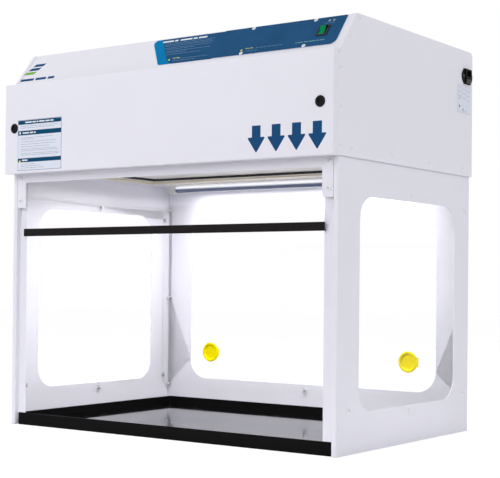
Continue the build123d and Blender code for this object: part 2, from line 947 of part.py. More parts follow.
def base_pan():
    """The head's floor, which is the chamber's ceiling: a pan with upturned edges."""
    half = head_inner_x - pan_fit
    front = side_front + sheet + fit_gap
    back = back_y - 2 * sheet
    pan = block(-half, half, front, back, enclosure_height, base_flange_top)
    pan = fillet(pan.edges().group_by(Axis.Z)[0], bend)
    pan -= block(
        -half + sheet, half - sheet, front + sheet, back - sheet, base_top, base_flange_top + 1
    )
    pan -= block(
        -half - 1, half + 1, front - 1, front + sheet, base_top + base_front_lip, base_flange_top + 1
    )
    pan -= opening_block(0, enclosure_height - 1, base_top + 1)
    for s in SIDES:
        for y, z in base_screws + front_screws[:1]:
            pan -= rod(screw_radius + hole_clearance, (s * (half - sheet - 1), y, z), (s, 0, 0), sheet + 2)
    for x in back_screw_xs:
        pan -= rod(
            screw_radius + hole_clearance, (x, back - sheet - 1, base_screw_level), (0, 1, 0), sheet + 2
        )
    return pan


def head_screws():
    """The small domed screws round the head: sides, back, and low on the folded slope edges."""
    places = [Plane(origin=(s * head_x, y, z), z_dir=(s, 0, 0)) for s in SIDES for y, z in head_side_screws]
    places += [Plane(origin=(x, back_y, back_screw_z), z_dir=(0, 1, 0)) for x in back_screw_xs]
    places += [Plane(origin=(x, back_y - sheet, base_screw_level), z_dir=(0, 1, 0)) for x in back_screw_xs]
    places += [foot_screw_place(s) for s in SIDES]
    screw = domed(
        (0, 0, 0), (0, 0, 1), screw_head_radius, screw_head_height, screw_radius, screw_tail + sheet
    )
    return [place * screw for place in places]


# ---------------------------------------------------------------- access door and locks
def door():
    """The front access door: a shallow folded lid, open to the back."""
    back = side_front - door_seat_gap
    lid = block(-head_x, head_x, front_y, back, door_bottom, door_top)
    lid = fillet(lid.edges().group_by(Axis.Y)[0], door_bend)
    hollow = block(
        -head_x + sheet, head_x - sheet, front_y + sheet, back + 1, door_bottom + sheet, door_top - sheet
    )
    lid -= fillet(hollow.edges().group_by(Axis.Y)[0], door_bend - sheet)
    for s in SIDES:
        lid -= rod(lock_barrel_radius, (s * lock_reach, front_y - 1, lock_level), (0, 1, 0), sheet + 2)
    return lid


def lock_body():
    """A lock's fixed barrel along local Z, its flange at the front."""
    outline = make_face(
        Polyline(
            (lock_core_radius + turning_clearance, -lock_flange),
            (lock_flange_radius - lock_flange_chamfer, -lock_flange),
            (lock_flange_radius, lock_flange_chamfer - lock_flange),
            (lock_flange_radius, 0),
            (lock_barrel_radius, 0),
            (lock_barrel_radius, lock_barrel_depth),
            (lock_core_radius + turning_clearance, lock_barrel_depth),
            (lock_core_radius + turning_clearance, -lock_flange),
        )
    )
    return revolve(Plane.XZ * outline, Axis.Z)


def lock_core():
    """A lock's turning core: slotted face, collar behind the barrel, and a stem for the keeper."""
    face = lock_core_recess - lock_flange
    collar = lock_barrel_depth + seat_gap
    outline = make_face(
        Polyline(
            (0, face),
            (lock_core_radius, face),
            (lock_core_radius, collar),
            (lock_core_radius + lock_collar, collar),
            (lock_core_radius + lock_collar, collar + lock_collar_height),
            (lock_stem_radius, collar + lock_collar_height),
            (lock_stem_radius, collar + lock_stem_length),
            (lock_stem_radius - lock_stem_chamfer, collar + lock_stem_length + lock_stem_chamfer),
            (0, collar + lock_stem_length + lock_stem_chamfer),
            (0, face),
        )
    )
    core = revolve(Plane.XZ * outline, Axis.Z)
    core -= Pos(0, 0, face) * Box(1.7 * lock_core_radius, lock_slot, 2 * lock_core_recess)
    core -= Pos(0, 0, collar + lock_stem_length) * Box(lock_slot, 4 * lock_stem_radius, lock_stem_length / 2)
    return core


def lock_place(side):
    """A lock's frame on the door's face, with local Z going in."""
    return Plane(origin=(side * lock_reach, front_y, lock_level), z_dir=(0, 1, 0), x_dir=(1, 0, 0))


def lock_nut():
    """The round nut that holds a barrel to the door."""
    ring = Pos(0, 0, sheet) * Cylinder(lock_flange_radius + 1, lock_nut_height, align=LOW)
    return ring - Cylinder(lock_barrel_radius, hole_run)


def keeper():
    """The right lock's keeper: a plate behind the folded edge, with a round hole for the stem."""
    y = side_front + sheet
    plate = block(
        head_inner_x - keeper_width,
        head_inner_x,
        y,
        y + sheet,
        lock_level - keeper_height / 2,
        lock_level + keeper_height / 2,
    )
    plate = fillet(plate.edges().filter_by(Axis.Y).group_by(Axis.X)[0], keeper_corner)
    return plate - rod(
        lock_stem_radius + keeper_clearance, (lock_reach, y - 1, lock_level), (0, 1, 0), sheet + 2
    )


# ---------------------------------------------------------------- control plate and switch
def plate_outline(width_left, width_right):
    """The plate's outline on the slope, with its two right-hand corners rounded."""
    top = -plate_margin_top
    shape = make_face(
        Polyline(
            (width_left, top),
            (width_right, top),
            (width_right, top - plate_length),
            (width_left, top - plate_length),
            close=True,
        )
    )
    right = shape.vertices().group_by(Axis.X)[-1].sort_by(Axis.Y)
    shape = fillet(right[1], overlay_corner * 0.5)
    corner = shape.vertices().sort_by(lambda v: v.Y - v.X)[0]
    return fillet(corner, overlay_corner * 1.6)


def switch_hole(depth, grow):
    """The hole that the switch's body passes."""
    width = switch_width - 2 * switch_side_rim + 2 * grow
    length = switch_length - 2 * switch_end_rim + 2 * grow
    return Pos(switch_centre, -switch_drop, 0) * Box(width, length, depth)


def control_plate():
    """The screwed plate that carries the switch."""
    plate = extrude(plate_outline(plate_left, plate_right), plate_thickness)
    plate -= switch_hole(hole_run, seat_gap)
    for x, y in plate_screws:
        plate -= Pos(x, y, 0) * Cylinder(screw_radius + hole_clearance, hole_run)
    return cover_plane * plate


def overlays():
    """The coloured films on the plate and on the slope beside it."""
    right = extrude(plate_outline(plate_left, plate_right), overlay_thickness)
    right -= switch_hole(hole_run, seat_gap)
    for x, y in plate_screws:
        right -= Pos(x, y, 0) * Cylinder(screw_head_radius + seat_gap, hole_run)
    right = cover_plane * Pos(0, 0, plate_thickness) * right
    top = -plate_margin_top
    shape = make_face(
        Polyline(
            (overlay_left_top, top),
            (plate_left - fit_gap, top),
            (plate_left - fit_gap, top - plate_length),
            (overlay_left_bottom, top - plate_length),
            close=True,
        )
    )
    ends = shape.vertices().sort_by(Axis.X)[:2]
    shape = fillet(ends, overlay_corner)
    return cover_plane * extrude(shape, overlay_thickness), right


def plate_fasteners():
    """Four domed screws on the control plate."""
    return [
        cover_plane
        * Pos(x, y, plate_thickness)
        * domed((0, 0, 0), (0, 0, 1), screw_head_radius, screw_head_height, screw_radius, screw_tail + sheet)
        for x, y in plate_screws
    ]


def switch_body():
    """The switch's bezel and body, hollow for the rocker."""
    bezel = Pos(0, 0, switch_face) * Box(switch_width, switch_length, switch_rim, align=LOW)
    bezel = fillet(bezel.edges().filter_by(Axis.Z), switch_corner)
    bezel = chamfer(bezel.edges().group_by(Axis.Z)[-1], switch_chamfer)
    case = Pos(0, 0, switch_face - switch_body_depth) * Box(
        switch_width - 2 * switch_side_rim,
        switch_length - 2 * switch_end_rim,
        switch_body_depth,
        align=LOW,
    )
    body = bezel + case
    cavity_bottom = pivot_height - rocker_radius - 1
    cavity_height = switch_face + switch_rim + 1 - cavity_bottom
    body -= Pos(0, 0, cavity_bottom) * Box(
        rocker_width + 2 * seat_gap, 2 * (rocker_radius + seat_gap), cavity_height, align=LOW
    )
    pin_reach = rocker_width + 2 * rocker_pin_length + 2 * seat_gap
    body -= Pos(0, 0, pivot_height) * Rot(0, 90, 0) * Cylinder(
        rocker_pin_radius + turning_clearance, pin_reach
    )
    return switch_place * body


def rocker():
    """The two-sided rocker on its pins, tilted to the on position."""
    window = Rectangle(2 * rocker_radius, rocker_rise + rocker_skirt)
    profile = Circle(rocker_radius) & Pos(0, (rocker_rise - rocker_skirt) / 2) * window
    dip = make_face(
        Polyline(
            (-rocker_radius, rocker_rise + 0.01),
            (rocker_radius, rocker_rise + 0.01),
            (0, rocker_rise - rocker_dip),
            close=True,
        )
    )
    profile -= dip
    solid = extrude(Plane.YZ * profile, rocker_width / 2, both=True)
    solid += Rot(0, 90, 0) * Cylinder(rocker_pin_radius, rocker_width + 2 * rocker_pin_length)
    return switch_place * Pos(0, 0, pivot_height) * Rot(rocker_tilt, 0, 0) * solid


# ---------------------------------------------------------------- labels and power inlet
def labels():
    """The plain printed labels on the door and on the right side."""
    instruction = block(
        instruction_left,
        instruction_left + instruction_width,
        front_y - label_thickness,
        front_y,
        instruction_bottom,
        instruction_bottom + instruction_height,
    )
    rating_back = back_y - rating_back_margin
    rating = block(
        head_x,
        head_x + label_thickness,
        rating_back - rating_width,
        rating_back,
        door_top - rating_height,
        door_top,
    )
    return instruction, rating


def inlet():
    """The power inlet: flange with two ears, raised socket with three pins, and a drawer's bay."""
    half_w = inlet_flange_width / 2
    half_h = inlet_flange_height / 2
    ear = inlet_ear_pitch / 2 + inlet_ear_radius
    outline = make_face(
        Polyline(
            (-half_w, half_h),
            (half_w, half_h),
            (ear, inlet_ear_radius),
            (ear, -inlet_ear_radius),
            (half_w, -half_h),
            (-half_w, -half_h),
            (-ear, -inlet_ear_radius),
            (-ear, inlet_ear_radius),
            close=True,
        )
    )
    flange = extrude(fillet(outline.vertices(), inlet_corner), inlet_flange_thickness)
    for s in SIDES:
        flange -= Pos(s * inlet_ear_pitch / 2, 0, 0) * Cylinder(screw_radius + hole_clearance, hole_run)
    case = Pos(0, 0, -inlet_body_depth) * Box(
        inlet_flange_width - 2 * inlet_rim, inlet_flange_height - 2 * inlet_rim, inlet_body_depth, align=LOW
    )
    socket = Pos(0, socket_rise, 0) * extrude(
        RectangleRounded(inlet_socket_width, inlet_socket_height, inlet_corner),
        inlet_flange_thickness + inlet_socket_rise,
    )
    body = flange + case + socket
    mouth = inlet_flange_thickness + inlet_socket_rise
    half_cavity = inlet_cavity_width / 2
    cavity = make_face(
        Polyline(
            (-half_cavity, inlet_cavity_height / 2 - inlet_cavity_chamfer),
            (inlet_cavity_chamfer - half_cavity, inlet_cavity_height / 2),
            (half_cavity - inlet_cavity_chamfer, inlet_cavity_height / 2),
            (half_cavity, inlet_cavity_height / 2 - inlet_cavity_chamfer),
            (half_cavity, -inlet_cavity_height / 2),
            (-half_cavity, -inlet_cavity_height / 2),
            close=True,
        )
    )
    body -= Pos(0, socket_rise, mouth - inlet_cavity_depth) * extrude(cavity, inlet_cavity_depth + 1)
    for x, y in (
        (-inlet_pin_reach, -inlet_side_pin_drop),
        (0, inlet_middle_pin_rise),
        (inlet_pin_reach, -inlet_side_pin_drop),
    ):
        pin = Box(inlet_pin_width, inlet_pin_height, inlet_pin_length, align=LOW)
        body += Pos(x, socket_rise + y, mouth - inlet_cavity_depth) * pin
    return inlet_plane * (body - drawer_stem(drawer_depth, seat_gap))


def drawer_stem(depth, grow):
    """The part of the drawer that enters its bay, or the bay itself when grown."""
    width = drawer_width - 2 * drawer_lip + 2 * grow
    height = drawer_height - 2 * drawer_lip + 2 * grow
    stem = Box(width, height, depth + grow, align=LOW)
    return Pos(0, drawer_level, inlet_flange_thickness + seat_gap - depth) * stem


def fuse_drawer():
    """The small fuse drawer under the socket, its front just clear of the flange."""
    front = Pos(0, drawer_level, inlet_flange_thickness + seat_gap) * Box(
        drawer_width, drawer_height, drawer_rise, align=LOW
    )
    lower_edge = front.edges().filter_by(Axis.X).group_by(Axis.Z)[-1].sort_by(Axis.Y)[0]
    front = chamfer(lower_edge, drawer_rise * 0.6)
    return inlet_plane * (front + drawer_stem(drawer_depth - drawer_end_gap, 0))


def inlet_screws():
    """The two screws in the inlet's ears."""
    return [
        inlet_plane
        * Pos(s * inlet_ear_pitch / 2, 0, inlet_flange_thickness)
        * domed(
            (0, 0, 0), (0, 0, 1), screw_head_radius - 1, screw_head_height, screw_radius, inlet_screw_length
        )
        for s in SIDES
    ]


# ---------------------------------------------------------------- filter stack
def gasket():
    """The black sealing ring on the pan, round the air opening."""
    return opening_block(gasket_width, base_top, grille_bottom) - opening_block(
        0, base_top - 1, grille_bottom + 1
    )


def grille():
    """The perforated diffuser sheet over the opening."""
    plate = opening_block(grille_margin, grille_bottom, filter_bottom)
    pitch_x = (filter_width - 2 * filter_opening_margin) / grille_columns
    pitch_y = (filter_depth - 2 * filter_opening_margin) / grille_rows
    slot = Box(pitch_x - grille_bar, pitch_y - grille_bar, 3 * grille_sheet)
    place = Pos(0, filter_centre, grille_bottom)
    return plate - [
        place * loc * slot for loc in GridLocations(pitch_x, pitch_y, grille_columns, grille_rows)
    ]


def filter_box():
    """The filter's frame: four walls, open above and below."""
    half_y = filter_depth / 2
    outer = Pos(0, filter_centre, filter_bottom) * Box(filter_width, filter_depth, filter_height, align=LOW)
    inner = Pos(0, filter_centre, filter_bottom - 1) * Box(
        filter_width - 2 * filter_wall, filter_depth - 2 * filter_wall, filter_height + 2, align=LOW
    )
    return outer - inner


def pleat_line(folds, step, low, high, low_tip, high_tip):
    """One side of the folded paper: flat tips, low and high by turns."""
    points = []
    for i in range(folds + 1):
        half, z = (high_tip / 2, high) if i % 2 else (low_tip / 2, low)
        points += [(i * step - half, z), (i * step + half, z)]
    return points


def filter_media():
    """The filter's paper: one sheet folded up and down across the frame."""
    span = filter_depth - 2 * filter_wall - pleat_tip - 2 * seat_gap
    folds = int(span / pleat_pitch) * 2
    step = span / folds
    base = filter_bottom + (filter_height - pleat_height) / 2
    inner_tip = pleat_tip - 2 * pleat_sheet
    lower = pleat_line(folds, step, base, base + pleat_height - pleat_sheet, pleat_tip, inner_tip)
    upper = pleat_line(folds, step, base + pleat_sheet, base + pleat_height, inner_tip, pleat_tip)
    lower[0] = (-inner_tip / 2, base)
    lower[-1] = (folds * step + inner_tip / 2, base)
    start = filter_centre - span / 2
    outline = yz_face([(y + start, z) for y, z in lower + upper[::-1]])
    width = filter_width - 2 * filter_wall - 2 * seat_gap
    return Pos(-width / 2, 0, 0) * extrude(outline, width)


def retainer():
    """The cream frame under the ceiling, round the air opening."""
    bottom = enclosure_height - retainer_height
    ring = opening_block(retainer_width, bottom, enclosure_height)
    ring = chamfer(ring.edges().group_by(Axis.Z)[0], retainer_height * 0.6)
    return ring - opening_block(0, bottom - 1, enclosure_height + 1)


# ---------------------------------------------------------------- plenum and blower
def plenum():
    """The pressure box between the filter and the deck."""
    outer = Pos(0, filter_centre, filter_top) * Box(filter_width, filter_depth, plenum_height, align=LOW)
    inner = Pos(0, filter_centre, filter_top + sheet) * Box(
        filter_width - 2 * sheet, filter_depth - 2 * sheet, plenum_height, align=LOW
    )
    mouth = Pos(0, filter_centre, filter_top - 1) * Box(
        filter_width - 2 * filter_wall, filter_depth - 2 * filter_wall, 10, align=LOW
    )
    return outer - inner - mouth


def rod_places():
    """The four clamp rods, just outside the filter's short sides."""
    x = filter_width / 2 + deck_margin
    y = filter_depth / 2 - 3 * deck_margin
    return [(sx * x, filter_centre + sy * y) for sx in SIDES for sy in SIDES]


def deck():
    """The plate over the plenum, with the blower's intake hole and four rod holes."""
    width = filter_width + 4 * deck_margin
    plate = Pos(0, filter_centre, deck_level) * Box(width, filter_depth, 2 * sheet, align=LOW)
    plate -= rod(intake_throat_radius + throat_clearance, (0, blower_y, deck_level - 1), (0, 0, 1), hole_run)
    for x, y in rod_places():
        plate -= rod(clamp_radius + hole_clearance, (x, y, deck_level - 1), (0, 0, 1), hole_run)
    return plate


def clamp_rods():
    """Four rods that draw the deck, plenum and filter down on the gasket, with their nuts."""
    rods = []
    top = deck_level + 2 * sheet
    for x, y in rod_places():
        bar = rod(clamp_radius, (x, y, base_top), (0, 0, 1), top + nut_height + bolt_tail - base_top)
        rods.append(bar + nut((x, y, top), (0, 0, 1), clamp_radius))
    return rods


def intake_ring():
    """The rounded inlet of the blower, seated on the deck."""
    top = deck_level + 2 * sheet
    throat = intake_throat_radius
    curve = intake_ring_height
    outline = make_face(
        Polyline(
            (throat, top - curve),
            (throat + sheet, top - curve),
            (throat + sheet, top - intake_ring_curve),
            (throat + intake_ring_curve + intake_ring_lip, top),
            (throat + intake_ring_flange, top),
            (throat + intake_ring_flange, top + sheet),
            (throat + intake_ring_curve, top + sheet),
            (throat, top + intake_ring_lip - intake_ring_curve),
            close=True,
        )
    )
    return Pos(0, blower_y, 0) * revolve(Plane.XZ * outline, Axis.Z)


def impeller():
    """The backward-curved wheel: base plate, coned shroud and blades between them."""
    eye = impeller_eye_radius
    rim = impeller_radius
    shroud = make_face(
        Polyline(
            (eye, impeller_height),
            (eye + impeller_plate, impeller_height),
            (eye + shroud_knee, impeller_height - shroud_knee_drop),
            (rim, impeller_height - shroud_drop),
            (rim, impeller_height - shroud_drop - impeller_plate),
            (eye + shroud_knee - impeller_plate, impeller_height - shroud_knee_drop - impeller_plate),
            (eye, impeller_height - shroud_lip),
            close=True,
        )
    )
    wheel = revolve(Plane.XZ * shroud, Axis.Z)
    wheel += Cylinder(rim, impeller_plate, align=LOW)
    reach = rim - impeller_plate
    start = motor_radius + hub_margin
    middle = (start + reach) / 2
    middle_turn = radians(blade_turn * blade_curl)
    curve = ThreePointArc(
        (start, 0),
        (middle * cos(middle_turn), middle * sin(middle_turn)),
        (reach * cos(radians(blade_turn)), reach * sin(radians(blade_turn))),
    )
    blade = extrude(make_face(offset(curve, blade_thickness, side=Side.LEFT)), impeller_height)
    under_shroud = make_face(
        Polyline(
            (start - blade_root_extra, 0),
            (rim, 0),
            (rim, impeller_height - shroud_drop - impeller_plate / 2),
            (eye + shroud_knee - impeller_plate / 2, impeller_height - shroud_knee_drop - impeller_plate / 2),
            (eye + impeller_plate / 2, impeller_height - shroud_knee),
            (start - blade_root_extra, impeller_height - blade_root_drop),
            close=True,
        )
    )
    blade &= revolve(Plane.XZ * under_shroud, Axis.Z)
    for i in range(blade_count):
        wheel += Rot(0, 0, i * 360 / blade_count) * blade
    wheel -= Pos(0, 0, -1) * Cylinder(motor_radius - motor_wall, impeller_plate + 2, align=LOW)
    return Pos(0, blower_y, wheel_base) * wheel


def rotor():
    """The motor's outer cup, which carries the wheel and turns on the fixed shaft."""
    height = motor_height
    cup = Pos(0, 0, impeller_plate) * Cylinder(motor_radius, height, align=LOW)
    cup -= Pos(0, 0, impeller_plate - 1) * Cylinder(
        motor_radius - motor_wall, height - motor_crown, align=LOW
    )
    hub = Cylinder(shaft_radius + motor_hub_wall, motor_hub_height, align=LOW)
    cup += Pos(0, 0, impeller_plate + height - motor_hub_drop) * hub
    cup -= Cylinder(shaft_radius + shaft_clearance, 3 * height)
    return Pos(0, blower_y, wheel_base) * cup


def stator():
    """The motor's fixed core, flange and shaft."""
    plate_top = wheel_base - running_gap
    full_height = running_gap + impeller_plate + motor_height
    core = Cylinder(motor_radius - motor_wall - motor_air_gap, full_height - motor_core_drop, align=LOW)
    core += Cylinder(motor_plate_radius - motor_foot_inset, motor_foot, align=LOW)
    core += Cylinder(shaft_radius, full_height - shaft_setback, align=LOW)
    return Pos(0, blower_y, plate_top) * core


def motor_bracket():
    """The plate under the motor, hung from the deck by bent arms."""
    plate_top = wheel_base - running_gap
    bottom = plate_top - motor_plate
    leg_x = impeller_radius + 4 * running_gap
    bracket = Pos(0, 0, bottom) * Cylinder(motor_plate_radius, motor_plate, align=LOW)
    arm = block(0, leg_x + motor_plate, -strut_width / 2, strut_width / 2, bottom, plate_top)
    arm += block(leg_x, leg_x + motor_plate, -strut_width / 2, strut_width / 2, bottom, deck_level)
    arm += block(
        leg_x, leg_x + strut_width, -strut_width / 2, strut_width / 2, deck_level - motor_plate, deck_level
    )
    for i in range(strut_count):
        bracket += Rot(0, 0, i * 360 / strut_count + 90) * arm
    return Pos(0, blower_y, 0) * bracket


# ---------------------------------------------------------------- intake on the top
def intake_grille():
    """The slotted frame over the intake."""
    width = intake_width + 2 * intake_frame
    depth = intake_depth + 2 * intake_frame
    plate = extrude(RectangleRounded(width, depth, intake_frame_corner), intake_frame_height)
    plate = chamfer(plate.edges().group_by(Axis.Z)[-1], intake_frame_chamfer)
    slot = extrude(SlotOverall(intake_depth - intake_frame, intake_slot_width), intake_frame_height + 2)
    pitch = intake_width / intake_slot_count
    for loc in GridLocations(pitch, 1, intake_slot_count, 1):
        plate -= loc * Pos(0, 0, -1) * Rot(0, 0, 90) * slot
    return Pos(0, intake_y, head_top) * plate


def prefilter():
    """The coarse pad under the intake."""
    top = head_top - sheet - seat_gap
    size_x = intake_width - 2 * fit_gap
    return Pos(0, intake_y, top - prefilter_height) * Box(size_x, intake_depth, prefilter_height, align=LOW)


def prefilter_rails():
    """Two channels under the cover that hold the pad's short sides."""
    top = head_top - sheet
    rails = []
    for s in SIDES:
        x = s * (intake_width / 2 + prefilter_ledge / 2)
        outer = Pos(x, intake_y, top - prefilter_height - 2 * sheet) * Box(
            2 * prefilter_ledge, intake_depth, prefilter_height + 2 * sheet, align=LOW
        )
        inner_x = x - s * (prefilter_ledge / 2 + sheet)
        inner = Pos(inner_x, intake_y, top - prefilter_height - seat_gap) * Box(
            2 * prefilter_ledge, intake_depth + 2, prefilter_height + seat_gap + 1, align=LOW
        )
        rails.append(outer - inner)
    return rails


# ---------------------------------------------------------------- lamp
def lamp_fitting():
    """The lamp's shallow tray under the ceiling and its two end holders."""
    reach = lamp_length / 2 + lamp_holder_length
    tray_bottom = enclosure_height - lamp_tray_height
    fitting = block(
        -reach,
        reach,
        lamp_y - lamp_holder_width / 2 - lamp_tray_margin,
        lamp_y + lamp_holder_width / 2 + lamp_tray_margin,
        tray_bottom,
        enclosure_height,
    )
    holders = []
    for s in SIDES:
        x = s * (lamp_length / 2 + lamp_holder_length / 2)
        drop = lamp_radius + lamp_holder_wall
        holder = Pos(x, lamp_y, lamp_z - drop) * Box(
            lamp_holder_length, lamp_holder_width, tray_bottom - lamp_z + drop, align=LOW
        )
        holders.append(fillet(holder.edges().filter_by(Axis.X).group_by(Axis.Z)[0], lamp_radius * 0.6))
    return fitting, holders


def lamp_tube():
    """The sealed lamp tube between the holders."""
    tube = Pos(0, lamp_y, lamp_z) * Rot(0, 90, 0) * Cylinder(lamp_radius, lamp_length - 2 * seat_gap)
    return fillet(tube.edges(), lamp_tube_round)


def ballast():
    """The lamp's ballast on the pan, behind the filter."""
    front = filter_centre + filter_depth / 2 + 2 * deck_margin
    box = block(
        -ballast_length / 2,
        ballast_length / 2,
        front,
        front + ballast_width,
        base_top,
        base_top + ballast_height,
    )
    return fillet(box.edges().filter_by(Axis.X).group_by(Axis.Z)[-1], ballast_round)


# ---------------------------------------------------------------- write every sub-part
right_panel = side_panel()
save("side_panel_right", right_panel)
save("side_panel_left", mirror(right_panel, Plane.YZ))
save("back_panel", back_panel())
spill_tray, work_surface = tray()
save("spill_tray", spill_tray)
save("work_surface", work_surface)
right_pane = side_pane()
save("side_pane_right", right_pane)
save("side_pane_left", mirror(right_pane, Plane.YZ))
save("back_pane", back_pane())
save("pane_bolts", *pane_bolts())
save("pane_nuts", *pane_nuts())
save("port_plug_left", placed_plug(-1))
save("port_plug_right", placed_plug(1))
save("front_shield", shield())
save("shield_bracket", shield_bracket())
save("shield_edge_strip", edge_strip())
shield_screw_set, shield_nut_set = shield_fasteners()
save("shield_screws", *shield_screw_set)
save("shield_nuts", *shield_nut_set)

left_side, right_side = head_sides()
save("head_side_left", left_side)
save("head_side_right", right_side)
save("head_cover", cover())
save("head_back", head_back())
save("base_pan", base_pan())
save("head_screws", *head_screws())

save("access_door", door())
save("lock_bodies", *[lock_place(s) * lock_body() for s in SIDES])
save("lock_nuts", *[lock_place(s) * lock_nut() for s in SIDES])
save("lock_core_left", lock_place(-1) * lock_core())
save("lock_core_right", lock_place(1) * lock_core())
right_keeper = keeper()
save("lock_keepers", mirror(right_keeper, Plane.YZ), right_keeper)

save("control_plate", control_plate())
slope_overlay, plate_overlay = overlays()
save("slope_overlay", slope_overlay)
save("plate_overlay", plate_overlay)
save("control_plate_screws", *plate_fasteners())
save("switch_body", switch_body())
save("switch_rocker", rocker())

instruction_label, rating_label = labels()
save("instruction_label", instruction_label)
save("rating_label", rating_label)
save("power_inlet", inlet())
save("fuse_drawer", fuse_drawer())
save("inlet_screws", *inlet_screws())

save("filter_gasket", gasket())
save("diffuser_grille", grille())
save("filter_frame", filter_box())
save("filter_media", filter_media())
save("filter_retainer", retainer())
save("plenum_box", plenum())
save("blower_deck", deck())
save("clamp_rods", *clamp_rods())
save("intake_ring", intake_ring())
save("impeller", impeller())
save("motor_rotor", rotor())
save("motor_stator", stator())
save("motor_bracket", motor_bracket())

save("intake_grille", intake_grille())
save("prefilter_pad", prefilter())
save("prefilter_rails", *prefilter_rails())

lamp_tray, lamp_holders = lamp_fitting()
save("lamp_tray", lamp_tray)
save("lamp_holders", *lamp_holders)
save("lamp_tube", lamp_tube())
save("lamp_ballast", ballast())
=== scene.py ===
"""Dresses the bench-top laminar flow hood: paint, clear panes, printed films, fasteners and studio.

Metres, +X to the user's right, +Y to the back, +Z up, with the bench at zero.
"""

from math import cos, pi, radians, sin, tan, tau

import bmesh
import bpy
from bpy.props import FloatProperty, FloatVectorProperty, IntProperty, PointerProperty
from mathutils import Matrix, Vector


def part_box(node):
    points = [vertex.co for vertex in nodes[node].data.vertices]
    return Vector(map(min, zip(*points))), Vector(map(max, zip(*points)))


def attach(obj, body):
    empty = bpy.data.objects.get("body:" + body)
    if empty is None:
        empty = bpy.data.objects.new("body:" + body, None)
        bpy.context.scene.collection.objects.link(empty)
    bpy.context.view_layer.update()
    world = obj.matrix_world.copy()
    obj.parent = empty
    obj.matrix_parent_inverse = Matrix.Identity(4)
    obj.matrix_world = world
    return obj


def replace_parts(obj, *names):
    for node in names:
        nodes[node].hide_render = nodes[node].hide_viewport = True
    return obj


bl_info = {
    "name": "Laminar Flow Hood",
    "version": (1, 0, 0),
    "blender": (4, 5, 0),
    "location": "View3D > Sidebar > Hood",
    "description": "Dresses the packed laminar flow hood and sets up its studio",
    "category": "Object",
}

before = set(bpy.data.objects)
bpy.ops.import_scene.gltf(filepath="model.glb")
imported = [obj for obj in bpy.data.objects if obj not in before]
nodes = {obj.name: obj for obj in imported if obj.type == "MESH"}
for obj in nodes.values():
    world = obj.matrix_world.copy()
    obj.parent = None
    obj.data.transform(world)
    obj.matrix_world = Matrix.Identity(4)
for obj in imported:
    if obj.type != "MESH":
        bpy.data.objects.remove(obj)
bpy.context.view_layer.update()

MM = 0.001
WORD_LENGTHS = (5.0, 2.6, 7.0, 3.8, 1.8, 6.0, 4.3, 7.5, 2.5, 5.3, 3.3)
CORNER_STEPS = 6
RING_STEPS = 24
WELD = 1e-6
# Four corners of a tile come first, then the six of its hole.
TILE_FACES = ((0, 1, 6, 5), (1, 7, 6), (1, 2, 7), (2, 8, 7), (2, 3, 9, 8), (3, 4, 9), (3, 0, 4), (0, 5, 4))


# ---------------------------------------------------------------- user settings
def colour(label, text, value):
    """A colour that a user can change."""
    return FloatVectorProperty(
        name=label, description=text, default=value, size=3, min=0.0, max=1.0, subtype="COLOR"
    )


def length(label, text, value):
    """A length that a user can change."""
    return FloatProperty(name=label, description=text, default=value, min=0.0, unit="LENGTH", precision=5)


def share(label, text, value):
    """A plain number that a user can change."""
    return FloatProperty(name=label, description=text, default=value, min=0.0)


def power(label, text, value):
    """A lamp's power that a user can change."""
    return FloatProperty(name=label, description=text, default=value, min=0.0, unit="POWER")


class HoodColours(bpy.types.PropertyGroup):
    """The finishes' colours."""

    paint: colour("Paint", "Powder coat on the sheet metal", (0.79, 0.785, 0.86))
    # Its warm beige tone is partly painted shade: the shade and warm light inside the hood, laid on a white ceiling.
    inner_paint_and_shade: colour("Inner paint", "Powder coat of the ceiling", (0.82, 0.79, 0.78))
    screw: colour("Screws", "White domed screw heads", (0.82, 0.82, 0.86))
    film: colour("Film", "Main colour of the control panel's film", (0.016, 0.080, 0.19))
    film_edge: colour("Film edge", "Lighter band at the film's left end", (0.0, 0.19, 0.43))
    film_text: colour("Film text", "Pale print on the film", (0.16, 0.27, 0.42))
    label_band: colour("Label band", "Title bands on the instruction label", (0.0, 0.058, 0.135))
    label_paper: colour("Label paper", "Ground of the printed labels", (0.72, 0.755, 0.86))
    label_text: colour("Label text", "Stand-in text on the labels", (0.34, 0.36, 0.43))
    sign_white: colour("White print", "White print on dark bands", (0.80, 0.85, 0.90))
    sign_yellow: colour("Yellow print", "Small warning triangles", (0.80, 0.75, 0.10))
    emblem: colour("Emblem", "Plain arrows on the door", (0.008, 0.066, 0.18))
    accent: colour("Accent", "Second colour of the plain bars", (0.18, 0.42, 0.06))
    plug: colour("Plug", "Soft port plugs", (0.89, 0.745, 0.0))
    rocker: colour("Rocker", "Lit switch rocker", (0.0, 0.25, 0.088))
    cream: colour("Cream", "Retaining frame under the ceiling", (0.62, 0.55, 0.42))
    tray: colour("Tray", "Grained black tray", (0.004, 0.0037, 0.004))
    black: colour("Black", "Moulded black plastic", (0.007, 0.006, 0.0065))


class HoodSizes(bpy.types.PropertyGroup):
    """Sizes of the dressed pieces."""

    print_height: length("Print height", "How proud print stands", 0.05 * MM)
    grille_pitch: length("Grille pitch", "Distance between perforations", 6.5 * MM)
    grille_hole: length("Grille hole", "Width of one perforation", 4.0 * MM)
    text_height: length("Text height", "Height of a stand-in text line", 1.1 * MM)
    band_width: length("Band width", "Light band's width along the film's top edge", 19.5 * MM)
    band_slant: share("Band slant", "The light band's sideways run for each metre down the slope", 0.673)
    field_corner: length("Field corner", "Rounding of the dark field's lower corner", 26.0 * MM)
    arrow_area: length("Arrow area", "Width of the row of arrows on the door", 196.0 * MM)
    arrow_height: length("Arrow height", "Height of one arrow", 56.0 * MM)
    grain: length("Grain", "Size of the paint's orange peel", 1.1 * MM)


